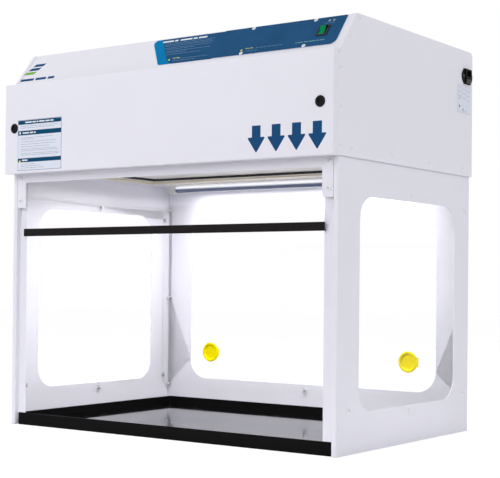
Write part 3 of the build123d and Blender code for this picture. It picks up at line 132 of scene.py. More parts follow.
class HoodStudio(bpy.types.PropertyGroup):
    """Camera, lamps and floor."""

    picture_width: IntProperty(name="Picture width", description="Pixels", default=500, min=1)
    picture_height: IntProperty(name="Picture height", description="Pixels", default=478, min=1)
    focal_pixels: FloatProperty(name="Focal length", description="In pixels", default=1241.99)
    centre_x: FloatProperty(name="Centre X", description="Optical centre, in pixels", default=262.62)
    centre_y: FloatProperty(name="Centre Y", description="Optical centre, in pixels", default=269.26)
    camera_place: FloatVectorProperty(
        name="Camera", description="Where the camera stands", default=(1.7341, -2.3483, 0.3417), unit="LENGTH"
    )
    yaw: FloatProperty(name="Yaw", description="Turn about the vertical", default=radians(35.219), unit="ROTATION")
    pitch: FloatProperty(name="Pitch", description="Upward tilt", default=radians(0.6), unit="ROTATION")
    roll: FloatProperty(name="Roll", description="Turn about the view", default=radians(0.551), unit="ROTATION")
    sky: share("Sky", "Strength of the even light", 0.62)
    key: power("Key", "Front lamp", 51.0)
    side: power("Side", "Lamp at the right", 20.5)
    back: power("Back", "Lamp behind", 24.0)
    chamber: power("Chamber", "Light that falls from the whole ceiling", 4.0)
    tube: power("Tube", "Light of the hood's own tube", 1.5)
    floor_white: share("Floor white", "How much of the floor is shown as plain white", 0.80)
    floor_glow: share("Floor glow", "Strength of the plain white that is shown", 1.1)


# ---------------------------------------------------------------- shader arithmetic
class Signal:
    """A shader's number, on which plain arithmetic works."""

    def __init__(self, graph, socket):
        self.graph = graph
        self.socket = socket

    def math(self, operation, first, second):
        return self.graph.node("ShaderNodeMath", {"operation": operation}, {0: first, 1: second})

    def __add__(self, other):
        return self.math("ADD", self, other)

    def __radd__(self, other):
        return self.math("ADD", other, self)

    def __sub__(self, other):
        return self.math("SUBTRACT", self, other)

    def __rsub__(self, other):
        return self.math("SUBTRACT", other, self)

    def __mul__(self, other):
        return self.math("MULTIPLY", self, other)

    def __rmul__(self, other):
        return self.math("MULTIPLY", other, self)

    def __pow__(self, other):
        return self.math("POWER", self, other)

    def __gt__(self, other):
        return self.math("GREATER_THAN", self, other)

    def __or__(self, other):
        return self.math("MAXIMUM", self, other)


class Graph:
    """A shader's node tree, written as plain expressions."""

    def __init__(self, owner):
        owner.use_nodes = True
        self.owner = owner
        self.tree = owner.node_tree
        self.tree.nodes.clear()

    def node(self, kind, settings=None, inputs=None, output=0):
        """Adds a node: its settings first, then the values or links of its sockets."""
        made = self.tree.nodes.new(kind)
        for name, value in (settings or {}).items():
            setattr(made, name, value)
        for name, value in (inputs or {}).items():
            if isinstance(value, Signal):
                self.tree.links.new(value.socket, made.inputs[name])
            else:
                made.inputs[name].default_value = value
        return Signal(self, made.outputs[output]) if made.outputs else None

    def seen_as_white(self):
        """One for the camera and for mirrored and clear rays, otherwise zero."""
        rays = ("Camera", "Glossy", "Transmission")
        camera, glossy, clear = (self.node("ShaderNodeLightPath", output=f"Is {ray} Ray") for ray in rays)
        return camera | glossy | clear


class Finish(Graph):
    """One procedural material."""

    def __init__(self, name):
        super().__init__(bpy.data.materials.new(name))
        self.place = self.node("ShaderNodeTexCoord", output="Object")

    def noise(self, size, detail=2.0, roughness=0.5):
        """Noise whose features are about a size in metres."""
        inputs = {"Vector": self.place, "Scale": 1.0 / size, "Detail": detail, "Roughness": roughness}
        return self.node("ShaderNodeTexNoise", {}, inputs)

    def drawn(self, across, along):
        """Noise stretched along X, for drawn metal and pressed board."""
        inputs = {"Vector": self.place, "Scale": (1.0 / along, 1.0 / across, 1.0 / across)}
        squeezed = self.node("ShaderNodeMapping", {"vector_type": "POINT"}, inputs)
        return self.node("ShaderNodeTexNoise", {}, {"Vector": squeezed, "Scale": 1.0, "Detail": 4.0})

    def along(self, axis):
        """The place along one axis, in metres."""
        return self.node("ShaderNodeSeparateXYZ", {}, {0: self.place}, axis)

    def ramp(self, signal, low=0.3, high=0.7):
        """Stretches a signal between two of its values to run from 0 to 1."""
        inputs = {"Value": signal, "From Min": low, "From Max": high}
        return self.node("ShaderNodeMapRange", {"clamp": True}, inputs)

    def blend(self, factor, first, second):
        """Mixes two colours."""
        inputs = {0: factor, 6: opaque(first), 7: opaque(second)}
        return self.node("ShaderNodeMix", {"data_type": "RGBA"}, inputs, 2)

    def mottled(self, factor, tone, dark, light):
        """A colour that wanders between a darker and a lighter form of itself."""
        return self.blend(self.ramp(factor), shade(tone, dark), shade(tone, light))

    def bump(self, height, depth, strength=1.0):
        """A fine relief of a real depth."""
        return self.node("ShaderNodeBump", {}, {"Height": height, "Distance": depth, "Strength": strength})

    def body(self, **inputs):
        """The Principled shader, with its sockets named in plain words."""
        named = {name.replace("_", " "): opaque(value) for name, value in inputs.items()}
        return self.node("ShaderNodeBsdfPrincipled", {}, named)

    def done(self, shader):
        """Ends the material with a shader."""
        self.node("ShaderNodeOutputMaterial", {}, {"Surface": shader})
        return self.owner


def opaque(value):
    """A colour of three numbers gets its fourth; anything else stays."""
    if not isinstance(value, Signal) and hasattr(value, "__len__") and len(value) == 3:
        return (*value, 1.0)
    return value


def shade(tone, factor):
    """A colour made darker or lighter."""
    return tuple(min(1.0, part * factor) for part in tone)


# ---------------------------------------------------------------- finishes
def powder_coat(name, tone, grain):
    """Fine-grained powder coat with a faint orange peel."""
    f = Finish(name)
    fine = f.noise(grain, 3.0, 0.6)
    tint = f.mottled(f.noise(0.16, 3.0), tone, 0.985, 1.01)
    relief = f.bump(fine, 0.05 * MM, 0.4)
    return f.done(f.body(Base_Color=tint, Roughness=0.38 + 0.1 * fine, Specular_IOR_Level=0.35, Normal=relief))


def grained_plastic(name, tone, grain, rough, depth):
    """Moulded plastic with a fine grain."""
    f = Finish(name)
    cells = f.noise(grain, 4.0, 0.7)
    tint = f.mottled(cells, tone, 0.7, 1.5)
    relief = f.bump(cells, depth, 0.7)
    return f.done(f.body(Base_Color=tint, Roughness=rough + 0.12 * cells, Specular_IOR_Level=0.04, Normal=relief))


def polished_sheet(name, tone):
    """A polished black sheet with faint wiping marks and dust."""
    f = Finish(name)
    wipe = f.ramp(f.noise(0.12, 5.0, 0.7), 0.45, 0.75)
    specks = f.noise(0.5 * MM) > 0.72
    tint = f.blend(specks, tone, shade(tone, 4.0))
    return f.done(f.body(Base_Color=tint, Roughness=0.04 + 0.05 * wipe + 0.3 * specks, IOR=1.6))


def clear_sheet(name):
    """Clear acrylic: light passes, and the surface mirrors a little at a slant."""
    f = Finish(name)
    through = f.node("ShaderNodeBsdfTransparent", {}, {"Color": (1.0, 1.0, 1.0, 1.0)})
    haze = f.noise(0.09, 3.0)
    gloss = f.body(Base_Color=(0.95, 0.97, 1.0), Roughness=0.02 + 0.03 * haze, Metallic=1.0)
    slant = f.node("ShaderNodeLayerWeight", {}, {"Blend": 0.5}, "Facing")
    mirrored = 0.008 + 0.10 * slant**4
    return f.done(f.node("ShaderNodeMixShader", {}, {0: mirrored, 1: through, 2: gloss}))


def bare_metal(name, tone, rough, streak):
    """Bare or plated metal with faint drawn streaks."""
    f = Finish(name)
    lines = f.drawn(1.2 * MM, 25.0 * MM)
    tint = f.mottled(f.noise(9.0 * MM, 1.0), tone, 0.9, 1.08)
    return f.done(f.body(Base_Color=tint, Metallic=1.0, Roughness=rough + streak * (lines - 0.5)))


def moulded(name, tone, rough, sheen=0.35):
    """Plain moulded plastic, vinyl or rubber with slight mottling."""
    f = Finish(name)
    cloud = f.noise(7.0 * MM, 3.0)
    tint = f.mottled(cloud, tone, 0.93, 1.06)
    relief = f.bump(f.noise(0.6 * MM), 0.03 * MM, 0.5)
    rough = rough + 0.08 * (cloud - 0.5)
    return f.done(f.body(Base_Color=tint, Roughness=rough, Specular_IOR_Level=sheen, Normal=relief))


def printed(name, tone):
    """Screen-printed ink with a faint halftone."""
    f = Finish(name)
    dots = f.noise(0.8 * MM, 1.0)
    tint = f.mottled(dots, tone, 0.95, 1.05)
    return f.done(f.body(Base_Color=tint, Roughness=0.5 + 0.05 * dots, Specular_IOR_Level=0.06))


def film_face(name, tone):
    """Textured polyester film, printed from behind."""
    f = Finish(name)
    weave = f.noise(0.5 * MM)
    tint = f.mottled(f.noise(0.06, 3.0), tone, 0.94, 1.1)
    relief = f.bump(weave, 0.02 * MM, 0.5)
    return f.done(f.body(Base_Color=tint, Roughness=0.5 + 0.08 * weave, Specular_IOR_Level=0.02, Normal=relief))


def fibre_board(name, tone):
    """Pressed board with strands."""
    f = Finish(name)
    strands = f.drawn(1.4 * MM, 11.0 * MM)
    tint = f.mottled(strands, tone, 0.7, 1.25)
    return f.done(f.body(Base_Color=tint, Roughness=0.85, Normal=f.bump(strands, 0.1 * MM)))


def pleated_paper(name, tone):
    """Glass-fibre paper with fine fibres."""
    f = Finish(name)
    fibres = f.noise(0.5 * MM, 5.0, 0.8)
    tint = f.mottled(fibres, tone, 0.9, 1.05)
    return f.done(f.body(Base_Color=tint, Roughness=0.9, Normal=f.bump(fibres, 0.06 * MM)))


def open_foam(name, tone):
    """Coarse open foam."""
    f = Finish(name)
    cells = f.node("ShaderNodeTexVoronoi", {"feature": "F1"}, {"Vector": f.place, "Scale": 420.0})
    tint = f.blend(f.ramp(cells, 0.1, 0.6), shade(tone, 1.2), shade(tone, 0.35))
    return f.done(f.body(Base_Color=tint, Roughness=0.95, Normal=f.bump(cells, 0.8 * MM)))


def lamp_glass(name, bottom, top):
    """A lamp tube with a painted highlight: its upper side is bright and glows, its lower side is painted blue-grey
    reflection and shade.
    """
    f = Finish(name)
    # Painted highlight and shade by height: bright and glowing along the top, dark blue-grey below.
    painted_highlight_share = f.ramp(f.along("Z"), bottom + 0.45 * (top - bottom), bottom + 0.75 * (top - bottom))
    cloud = f.noise(8.0 * MM)
    tint = f.blend(painted_highlight_share, (0.10, 0.13, 0.24), (0.90, 0.92, 0.96))
    lit = f.blend(painted_highlight_share, (0.0, 0.0, 0.0), (0.9, 0.94, 1.0))
    return f.done(f.body(Base_Color=tint, Roughness=0.2 + 0.1 * cloud, Emission_Color=lit, Emission_Strength=0.5))


def lit_rocker(name, tone, middle, half, dark):
    """A black rocker with a lit lens over its middle."""
    f = Finish(name)
    offset = f.along("X") - middle
    lens = 1.0 - f.ramp(offset * offset, half**2, (half + 0.4 * MM) ** 2)
    cloud = f.noise(3.0 * MM)
    tint = f.blend(lens, dark, shade(tone, 0.5))
    lit = f.blend(lens, (0.0, 0.0, 0.0), tone)
    rough = 0.45 + 0.1 * cloud
    return f.done(
        f.body(Base_Color=tint, Roughness=rough, Specular_IOR_Level=0.02, Emission_Color=lit, Emission_Strength=0.4)
    )


# ---------------------------------------------------------------- mesh helpers
def piece(name, work, material, body):
    """Turns finished mesh work into one piece that rides on a body."""
    bmesh.ops.remove_doubles(work, verts=work.verts, dist=WELD)
    bmesh.ops.recalc_face_normals(work, faces=work.faces)
    mesh = bpy.data.meshes.new(name)
    work.to_mesh(mesh)
    work.free()
    mesh.materials.append(material)
    made = bpy.data.objects.new(name, mesh)
    bpy.context.scene.collection.objects.link(made)
    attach(made, body)
    return made


def dress(material, *names):
    """Gives CAD nodes their material."""
    for name in names:
        slots = nodes[name].data.materials
        slots.clear()
        slots.append(material)


def looking(origin, outward, across):
    """A place from its origin, its outward axis (local Z) and its sideways axis (local X)."""
    z = Vector(outward).normalized()
    x = Vector(across).normalized()
    turn = Matrix((x, z.cross(x), z)).transposed().to_4x4()
    return Matrix.Translation(origin) @ turn


def moved(place, x, y, z=0.0):
    """A place shifted within its own plane."""
    return place @ Matrix.Translation((x, y, z))


def rounded(corners):
    """An outline from (x, y, radius) corners, with arcs at the corners that have a radius."""
    outline = []
    count = len(corners)
    for i, (x, y, radius) in enumerate(corners):
        here = Vector((x, y))
        if radius <= 0.0:
            outline.append((x, y))
            continue
        back = (Vector(corners[i - 1][:2]) - here).normalized()
        ahead = (Vector(corners[(i + 1) % count][:2]) - here).normalized()
        half = back.angle(ahead) / 2
        reach = radius / tan(half)
        centre = here + (back + ahead).normalized() * (radius / sin(half))
        first = here + back * reach - centre
        last = here + ahead * reach - centre
        for step in range(CORNER_STEPS + 1):
            outline.append(tuple(centre + first.slerp(last, step / CORNER_STEPS).normalized() * radius))
    return outline


def add_slab(work, outline, place, thickness):
    """Adds a flat shape of a thickness, standing up along a place's Z."""
    base = [work.verts.new((x, y, 0.0)) for x, y in outline]
    raised = bmesh.ops.extrude_face_region(work, geom=[work.faces.new(base)])["geom"]
    top = [g for g in raised if isinstance(g, bmesh.types.BMVert)]
    bmesh.ops.translate(work, vec=(0.0, 0.0, thickness), verts=top)
    bmesh.ops.transform(work, matrix=place, verts=base + top)


def add_bar(work, place, width, height, thickness, corner=0.0):
    """Adds a flat bar centred on a place."""
    x, y = width / 2, height / 2
    add_slab(work, rounded([(-x, -y, corner), (x, -y, corner), (x, y, corner), (-x, y, corner)]), place, thickness)


def add_words(work, place, width, height, thickness, first):
    """Adds a line of short bars from a place along its X, like words too small to read."""
    gap = 0.7 * height + 0.4 * MM
    x, i = 0.0, first
    while x < width - 2 * gap:
        word = min(WORD_LENGTHS[i % len(WORD_LENGTHS)] * height, width - x)
        add_bar(work, moved(place, x + word / 2, 0.0), word, height, thickness)
        x += word + gap
        i += 1


def add_turned(work, profile, place, steps, socket=0.0):
    """Adds a turned shape: (radius, height) points spun about a place's Z, with a hexagonal socket if asked."""
    kept = set(work.verts)
    line = [work.verts.new((radius, 0.0, height)) for radius, height in profile]
    edges = [work.edges.new(pair) for pair in zip(line, line[1:])]
    bmesh.ops.spin(
        work, geom=line + edges, cent=(0, 0, 0), axis=(0, 0, 1), angle=tau, steps=steps, use_merge=True
    )
    made = [v for v in work.verts if v not in kept]
    for vert in made:
        reach = vert.co.xy
        if 0.9 * socket < reach.length < 1.05 * socket:
            turn = Vector((1, 0)).angle_signed(reach) % (tau / 6) - pi / 6
            vert.co.xy = reach.normalized() * (socket * cos(pi / 6) / cos(turn))
    bmesh.ops.transform(work, matrix=place, verts=made)


def ring(inner, outer, height):
    """The profile of a flat ring."""
    return [(inner, 0.0), (outer, 0.0), (outer, height), (inner, height), (inner, 0.0)]


def triangle(size):
    """A rounded warning triangle's outline."""
    x, y = size / 2, size * 0.433
    return rounded([(-x, -y, 0.1 * size), (x, -y, 0.1 * size), (0.0, y, 0.1 * size)])


def repeated(work, geometry, step, count):
    """Repeats geometry at equal steps and returns all of it."""
    last, made = geometry, list(geometry)
    for _ in range(count - 1):
        last = bmesh.ops.duplicate(work, geom=last)["geom"]
        verts = [g for g in last if isinstance(g, bmesh.types.BMVert)]
        bmesh.ops.translate(work, vec=step, verts=verts)
        made += last
    return made


def add_tile(work, width, depth, radius, thickness):
    """Adds one tile of a perforated sheet: a rectangle about a six-sided hole."""
    x, y = width / 2, depth / 2
    corners = [(x, y), (-x, y), (-x, -y), (x, -y)]
    hole = [(radius * cos(i * pi / 3), radius * sin(i * pi / 3)) for i in range(6)]
    made = []
    for z in (0.0, thickness):
        outer = [work.verts.new((a, b, z)) for a, b in corners]
        inner = [work.verts.new((a, b, z)) for a, b in hole]
        made.append((outer, inner))
        ends = outer + inner
        for face in TILE_FACES:
            work.faces.new([ends[i] for i in face])
    for i in range(6):
        j = (i + 1) % 6
        work.faces.new((made[0][1][i], made[0][1][j], made[1][1][j], made[1][1][i]))
    verts = [v for outer, inner in made for v in outer + inner]
    faces = list({f for v in verts for f in v.link_faces})
    return verts + list({e for f in faces for e in f.edges}) + faces


def separate_solids(name):
    """The vertices of each of a CAD node's separate solids."""
    work = bmesh.new()
    work.from_mesh(nodes[name].data)
    bmesh.ops.remove_doubles(work, verts=work.verts, dist=WELD)
    left, solids = set(work.verts), []
    while left:
        found, queue = [], [left.pop()]
        while queue:
            vert = queue.pop()
            found.append(vert.co.copy())
            fresh = {e.other_vert(vert) for e in vert.link_edges} & left
            left -= fresh
            queue.extend(fresh)
        solids.append(found)
    work.free()
    return solids


def measure_turned(points, axis):
    """A turned solid measured about an axis: its widest radius, the axis, its centre and its rings."""
    side = axis.orthogonal().normalized()
    frame_axes = (axis, side, axis.cross(side))
    centre = Vector()
    for direction in frame_axes:
        reaches = [p.dot(direction) for p in points]
        centre += direction * (min(reaches) + max(reaches)) / 2
    rings = []
    for p in points:
        along = (p - centre).dot(axis)
        rings.append((along, (p - centre - axis * along).length))
    return max(radius for along, radius in rings), axis, centre, rings


def film_place(name):
    """The plane of a film's face: origin on its upper edge at mid-width, X to the right, Y up the slope."""
    mesh = nodes[name].data
    face = max(mesh.polygons, key=lambda p: p.area if p.normal.y < -0.2 and p.normal.z > 0.2 else 0.0)
    up = face.normal.cross(Vector((1, 0, 0)))
    anchor = mesh.vertices[face.vertices[0]].co
    reach = max((v.co - anchor).dot(up) for v in mesh.vertices)
    edge = anchor + up * reach
    return looking((0.0, edge.y, edge.z), face.normal, (1, 0, 0))


# ---------------------------------------------------------------- operators
class HOOD_OT_paintwork(bpy.types.Operator):
    """Coat the sheet metal."""

    bl_idname = "hood.paintwork"
    bl_label = "Paintwork"

    def execute(self, context):
        tones, sizes = context.scene.hood_colours, context.scene.hood_sizes
        outer = powder_coat("powder_coat", tones.paint, sizes.grain)
        dress(outer, "head_side_left", "head_side_right", "head_cover", "head_back", "access_door")
        dress(outer, "control_plate", "intake_grille", "shield_bracket")
        dress(outer, "side_panel_left", "side_panel_right", "back_panel")
        # The ceiling coat's warm tone is painted shade.
        dress(powder_coat("powder_coat_inner", tones.inner_paint_and_shade, sizes.grain), "lamp_tray", "base_pan")
        dress(powder_coat("cream_coat", tones.cream, sizes.grain), "filter_retainer")
        return {"FINISHED"}


class HOOD_OT_tray(bpy.types.Operator):
    """Grain the tray and polish the work surface."""

    bl_idname = "hood.tray"
    bl_label = "Tray"

    def execute(self, context):
        tone = context.scene.hood_colours.tray
        dress(grained_plastic("tray_grain", tone, 0.9 * MM, 0.5, 0.12 * MM), "spill_tray")
        dress(polished_sheet("polished_black", shade(tone, 0.8)), "work_surface")
        return {"FINISHED"}


class HOOD_OT_panes(bpy.types.Operator):
    """Clear the panes and the shield, and blacken the shield's strip."""

    bl_idname = "hood.panes"
    bl_label = "Panes"

    def execute(self, context):
        strip = shade(context.scene.hood_colours.black, 2.0)
        dress(clear_sheet("clear_acrylic"), "side_pane_left", "side_pane_right", "back_pane", "front_shield")
        dress(grained_plastic("strip_grain", strip, 1.5 * MM, 0.6, 0.04 * MM), "shield_edge_strip")
        return {"FINISHED"}


class HOOD_OT_fasteners(bpy.types.Operator):
    """Turn the domed screws and bolts anew, with their driving sockets."""

    bl_idname = "hood.fasteners"
    bl_label = "Fasteners"

    round_steps: IntProperty(name="Steps", description="Faces around a head", default=30, min=12)
    socket_share: FloatProperty(name="Socket", description="Socket's share of the head", default=0.36, min=0.1)

    dome_points = 4
    dome_turn = pi / 12
    socket_lip = 1.15
    lip_drop = 0.2 * MM

    def execute(self, context):
        white = moulded("screw_white", context.scene.hood_colours.screw, 0.35)
        plated = bare_metal("zinc_plate", (0.62, 0.62, 0.64), 0.3, 0.1)
        dress(plated, "pane_nuts", "shield_nuts", "lock_nuts", "clamp_rods")
        for name in ("pane_bolts", "shield_screws", "head_screws", "control_plate_screws"):
            self.turned(name, white, "screw_white")
        self.turned("inlet_screws", bare_metal("dark_zinc", (0.10, 0.10, 0.11), 0.5, 0.05), "steel_bright")
        return {"FINISHED"}

    def turned(self, name, material, slot):
        """Turns each fastener of a node, as long and as wide as its CAD solid."""
        work = bmesh.new()
        for points in separate_solids(name):
            self.add_fastener(work, points)
        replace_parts(piece(f"{name}_turned", work, material, "hood"), name)

    def add_fastener(self, work, points):
        """Turns one fastener about the axis on which its CAD solid is slimmest."""
        slope = film_place("plate_overlay").to_3x3().col[2]
        measured = [measure_turned(points, axis) for axis in (Vector((1, 0, 0)), Vector((0, 1, 0)), slope)]
        head, axis, centre, rings = min(measured, key=lambda found: found[0])
        rim = [reach for reach, radius in rings if radius > 0.98 * head]
        if sum(rim) < 0.0:
            axis = -axis
            rings = [(-reach, radius) for reach, radius in rings]
            rim = [-reach for reach in rim]
        seat, top = min(rim), max(reach for reach, radius in rings)
        foot = min(reach for reach, radius in rings)
        shank = max(radius for reach, radius in rings if reach < (foot + seat) / 2)
        socket = self.socket_share * head
        dome = [(i + 1) * self.dome_turn for i in range(self.dome_points)]
        arc = [(head * cos(turn), seat + (top - seat) * sin(turn) / sin(dome[-1])) for turn in dome]
        profile = [(0.0, foot), (shank, foot), (shank, seat), (head, seat), *arc]
        profile += [(self.socket_lip * socket, top), (socket, top - self.lip_drop), (socket, seat), (0.0, seat)]
        side = Vector((0, 0, 1)).cross(axis)
        add_turned(work, profile, looking(centre, axis, side), self.round_steps, socket)


class HOOD_OT_locks(bpy.types.Operator):
    """Blacken the two locks and plate their keepers."""

    bl_idname = "hood.locks"
    bl_label = "Locks"

    def execute(self, context):
        black = context.scene.hood_colours.black
        dress(moulded("lock_black", black, 0.5, 0.1), "lock_bodies")
        dress(moulded("lock_core_black", shade(black, 0.6), 0.5, 0.1), "lock_core_left", "lock_core_right")
        dress(bare_metal("keeper_zinc", (0.55, 0.56, 0.57), 0.4, 0.12), "lock_keepers")
        return {"FINISHED"}


class HOOD_OT_control_panel(bpy.types.Operator):
    """Colour the control film and print its plain marks."""

    bl_idname = "hood.control_panel"
    bl_label = "Control panel"

    text_rows = (
        (-15.5, -34.0, 106.0),
        (-20.0, -31.0, 100.0),
        (-24.5, -28.0, 108.0),
        (-31.0, -25.0, 104.0),
        (-35.5, -22.0, 64.0),
        (-42.0, -17.0, 106.0),
        (-46.5, -14.0, 40.0),
        (-53.0, -11.0, 85.0),
        (-70.0, 16.0, 112.0),
        (-76.0, 20.0, 80.0),
    )
    plate_rows = ((-68.0, 238.0, 307.0), (-75.0, 214.0, 244.0), (-18.5, 388.0, 412.0))

    def execute(self, context):
        tones, sizes = context.scene.hood_colours, context.scene.hood_sizes
        blue = film_face("film_blue", tones.film)
        dress(blue, "plate_overlay")
        dress(film_face("film_light", tones.film_edge), "slope_overlay")
        self.height = sizes.print_height
        self.slope, self.plate = film_place("slope_overlay"), film_place("plate_overlay")
        self.field(sizes, blue)
        self.text(tones)
        self.signs(tones)
        return {"FINISHED"}

    def field(self, sizes, blue):
        """The dark field beside the light band, cut at the same slant, with one rounded corner."""
        low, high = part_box("plate_overlay")
        drop = (high.z - low.z) / self.slope.to_3x3().col[1].z
        film_low, film_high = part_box("slope_overlay")
        left, right = film_low.x + sizes.band_width, film_high.x
        top = -0.2 * MM
        foot = -drop - top
        start = left + sizes.band_slant * drop
        corners = [(start, foot, sizes.field_corner), (right, foot, 0.0), (right, top, 0.0), (left, top, 0.0)]
        work = bmesh.new()
        add_slab(work, rounded(corners), self.slope, self.height)
        piece("film_field", work, blue, "hood")

    def text(self, tones):
        """Stand-in lines and titles on the two films."""
        pale, white = bmesh.new(), bmesh.new()
        for i, (drop, start, end) in enumerate(self.text_rows):
            place = moved(self.slope, start * MM, drop * MM, self.height)
            add_words(pale, place, (end - start) * MM, 1.1 * MM, self.height, i)
        for i, (drop, start, end) in enumerate(self.plate_rows):
            add_words(pale, moved(self.plate, start * MM, drop * MM), (end - start) * MM, 1.2 * MM, self.height, i)
        add_words(white, moved(self.slope, -42.0 * MM, -8.5 * MM, self.height), 0.044, 4.4 * MM, self.height, 2)
        add_words(white, moved(self.slope, 8.0 * MM, -8.5 * MM, self.height), 0.080, 4.4 * MM, self.height, 7)
        piece("film_text", pale, printed("pale_ink", tones.film_text), "hood")
        piece("film_title", white, printed("title_ink", tones.sign_white), "hood")
        green = bmesh.new()
        add_words(green, moved(self.plate, 0.337, -68.5 * MM), 0.072, 2.2 * MM, self.height, 4)
        piece("film_foot_line", green, printed("foot_ink", (0.16, 0.34, 0.33)), "hood")

    def signs(self, tones):
        """Two small yellow triangles with a short line each, and two round signs over the switch."""
        yellow, white = bmesh.new(), bmesh.new()
        for place, x in ((moved(self.slope, 0.0, 0.0, self.height), 0.007), (self.plate, 0.203)):
            add_slab(yellow, triangle(6.5 * MM), moved(place, x, -70.0 * MM), self.height)
            add_words(yellow, moved(place, x + 9.0 * MM, -67.0 * MM), 0.020, 1.4 * MM, self.height, 3)
        for x in (0.397, 0.4075):
            add_turned(white, ring(1.6 * MM, 2.6 * MM, self.height), moved(self.plate, x, -11.2 * MM), RING_STEPS)
        piece("film_triangles", yellow, printed("yellow_ink", tones.sign_yellow), "hood")
        piece("film_rings", white, printed("ring_ink", shade(tones.sign_white, 0.7)), "hood")


class HOOD_OT_switch(bpy.types.Operator):
    """Finish the switch and light its rocker."""

    bl_idname = "hood.switch"
    bl_label = "Switch"

    def execute(self, context):
        tones = context.scene.hood_colours
        dress(moulded("switch_black", tones.black, 0.35, 0.3), "switch_body")
        low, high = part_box("switch_rocker")
        middle, half = (low.x + high.x) / 2 - 1.8 * MM, 6.4 * MM
        dress(lit_rocker("rocker_green", tones.rocker, middle, half, tones.black), "switch_rocker")
        return {"FINISHED"}


class HOOD_OT_labels(bpy.types.Operator):
    """Print the labels' bands and stand-in lines."""

    bl_idname = "hood.labels"
    bl_label = "Labels"

    bands = ((0.012, 0.09), (0.213, 0.302), (0.758, 0.836))
    heading_rows = ((0.05, 0.17, 0.82), (0.258, 0.11, 0.42), (0.797, 0.10, 0.23))
    triangles = ((0.15, 0.47, 5.0), (0.15, 0.76, 8.0), (0.42, 0.86, 6.0))
    rows = (0.125, 0.158, 0.352, 0.382, 0.432, 0.482, 0.53, 0.58, 0.612, 0.664, 0.694, 0.875, 0.912, 0.95)
    ends = (0.93, 0.83, 0.80, 0.36, 0.88, 0.87, 0.72, 0.90, 0.93, 0.96, 0.95, 0.40, 0.54, 0.62)

    def execute(self, context):
        tones, sizes = context.scene.hood_colours, context.scene.hood_sizes
        border = printed("border_ink", (0.17, 0.20, 0.33))
        paper = printed("label_paper", tones.label_paper)
        dress(border, "instruction_label")
        dress(printed("rating_border", (0.42, 0.42, 0.48)), "rating_label")
        self.height = sizes.print_height
        self.instructions(tones, sizes, paper)
        self.rating(paper)
        return {"FINISHED"}

    def instructions(self, tones, sizes, paper):
        """The door label's ground, bands and stand-in lines."""
        low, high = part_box("instruction_label")
        wide, tall = high.x - low.x, high.z - low.z
        corner = looking((low.x, low.y, high.z), (0, -1, 0), (1, 0, 0))
        ground, blue, grey = bmesh.new(), bmesh.new(), bmesh.new()
        add_bar(ground, moved(corner, wide / 2, -tall / 2), wide - 1.6 * MM, tall - 1.8 * MM, self.height, 3.0 * MM)
        for start, end in self.bands:
            place = moved(corner, wide / 2, -(start + end) / 2 * tall, self.height)
            add_bar(blue, place, wide - 1.8 * MM, (end - start) * tall, self.height, 3.0 * MM if start < 0.1 else 0.0)
        for i, (drop, end) in enumerate(zip(self.rows, self.ends)):
            start = 0.07 * wide
            place = moved(corner, start, -drop * tall, self.height)
            add_words(grey, place, end * wide - start, sizes.text_height, self.height, i)
        piece("label_ground", ground, paper, "door")
        piece("label_bands", blue, printed("band_ink", tones.label_band), "door")
        piece("label_lines", grey, printed("grey_ink", tones.label_text), "door")
        self.headings(tones, moved(corner, 0.0, 0.0, 2 * self.height), wide, tall)

    def headings(self, tones, corner, wide, tall):
        """White bars and small marks on the door label's bands."""
        white, yellow = bmesh.new(), bmesh.new()
        for drop, start, end in self.heading_rows:
            place = moved(corner, start * wide, -drop * tall)
            add_words(white, place, (end - start) * wide, 3.0 * MM, self.height, 2)
        add_bar(white, moved(corner, 0.05 * wide, -0.258 * tall), 4.2 * MM, 6.4 * MM, self.height, 1.6 * MM)
        add_slab(yellow, triangle(8.0 * MM), moved(corner, 0.05 * wide, -0.81 * tall), self.height)
        piece("label_headings", white, printed("heading_ink", tones.sign_white), "door")
        piece("label_triangle", yellow, printed("triangle_ink", tones.sign_yellow), "door")

    def rating(self, paper):
        """The side label's ground, stand-in lines and triangles."""
        low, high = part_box("rating_label")
        wide, tall = high.y - low.y, high.z - low.z
        corner = looking((high.x, low.y, high.z), (1, 0, 0), (0, 1, 0))
        ground, grey, dark = bmesh.new(), bmesh.new(), bmesh.new()
        add_bar(ground, moved(corner, wide / 2, -tall / 2), wide - 0.9 * MM, tall - 0.9 * MM, self.height, 0.6 * MM)
        for i in range(9):
            place = moved(corner, (0.06 + 0.3 * (i % 3)) * wide, -(0.08 + 0.055 * i) * tall, self.height)
            add_words(grey, place, 0.3 * wide, 0.9 * MM, self.height, i)
        add_words(grey, moved(corner, 0.3 * wide, -0.93 * tall, self.height), 0.4 * wide, 0.9 * MM, self.height, 1)
        for across, drop, size in self.triangles:
            add_slab(dark, triangle(size * MM), moved(corner, across * wide, -drop * tall, self.height), self.height)
        piece("rating_ground", ground, paper, "hood")
        piece("rating_lines", grey, printed("rating_ink", (0.36, 0.37, 0.43)), "hood")
        piece("rating_signs", dark, printed("sign_ink", (0.12, 0.12, 0.15)), "hood")


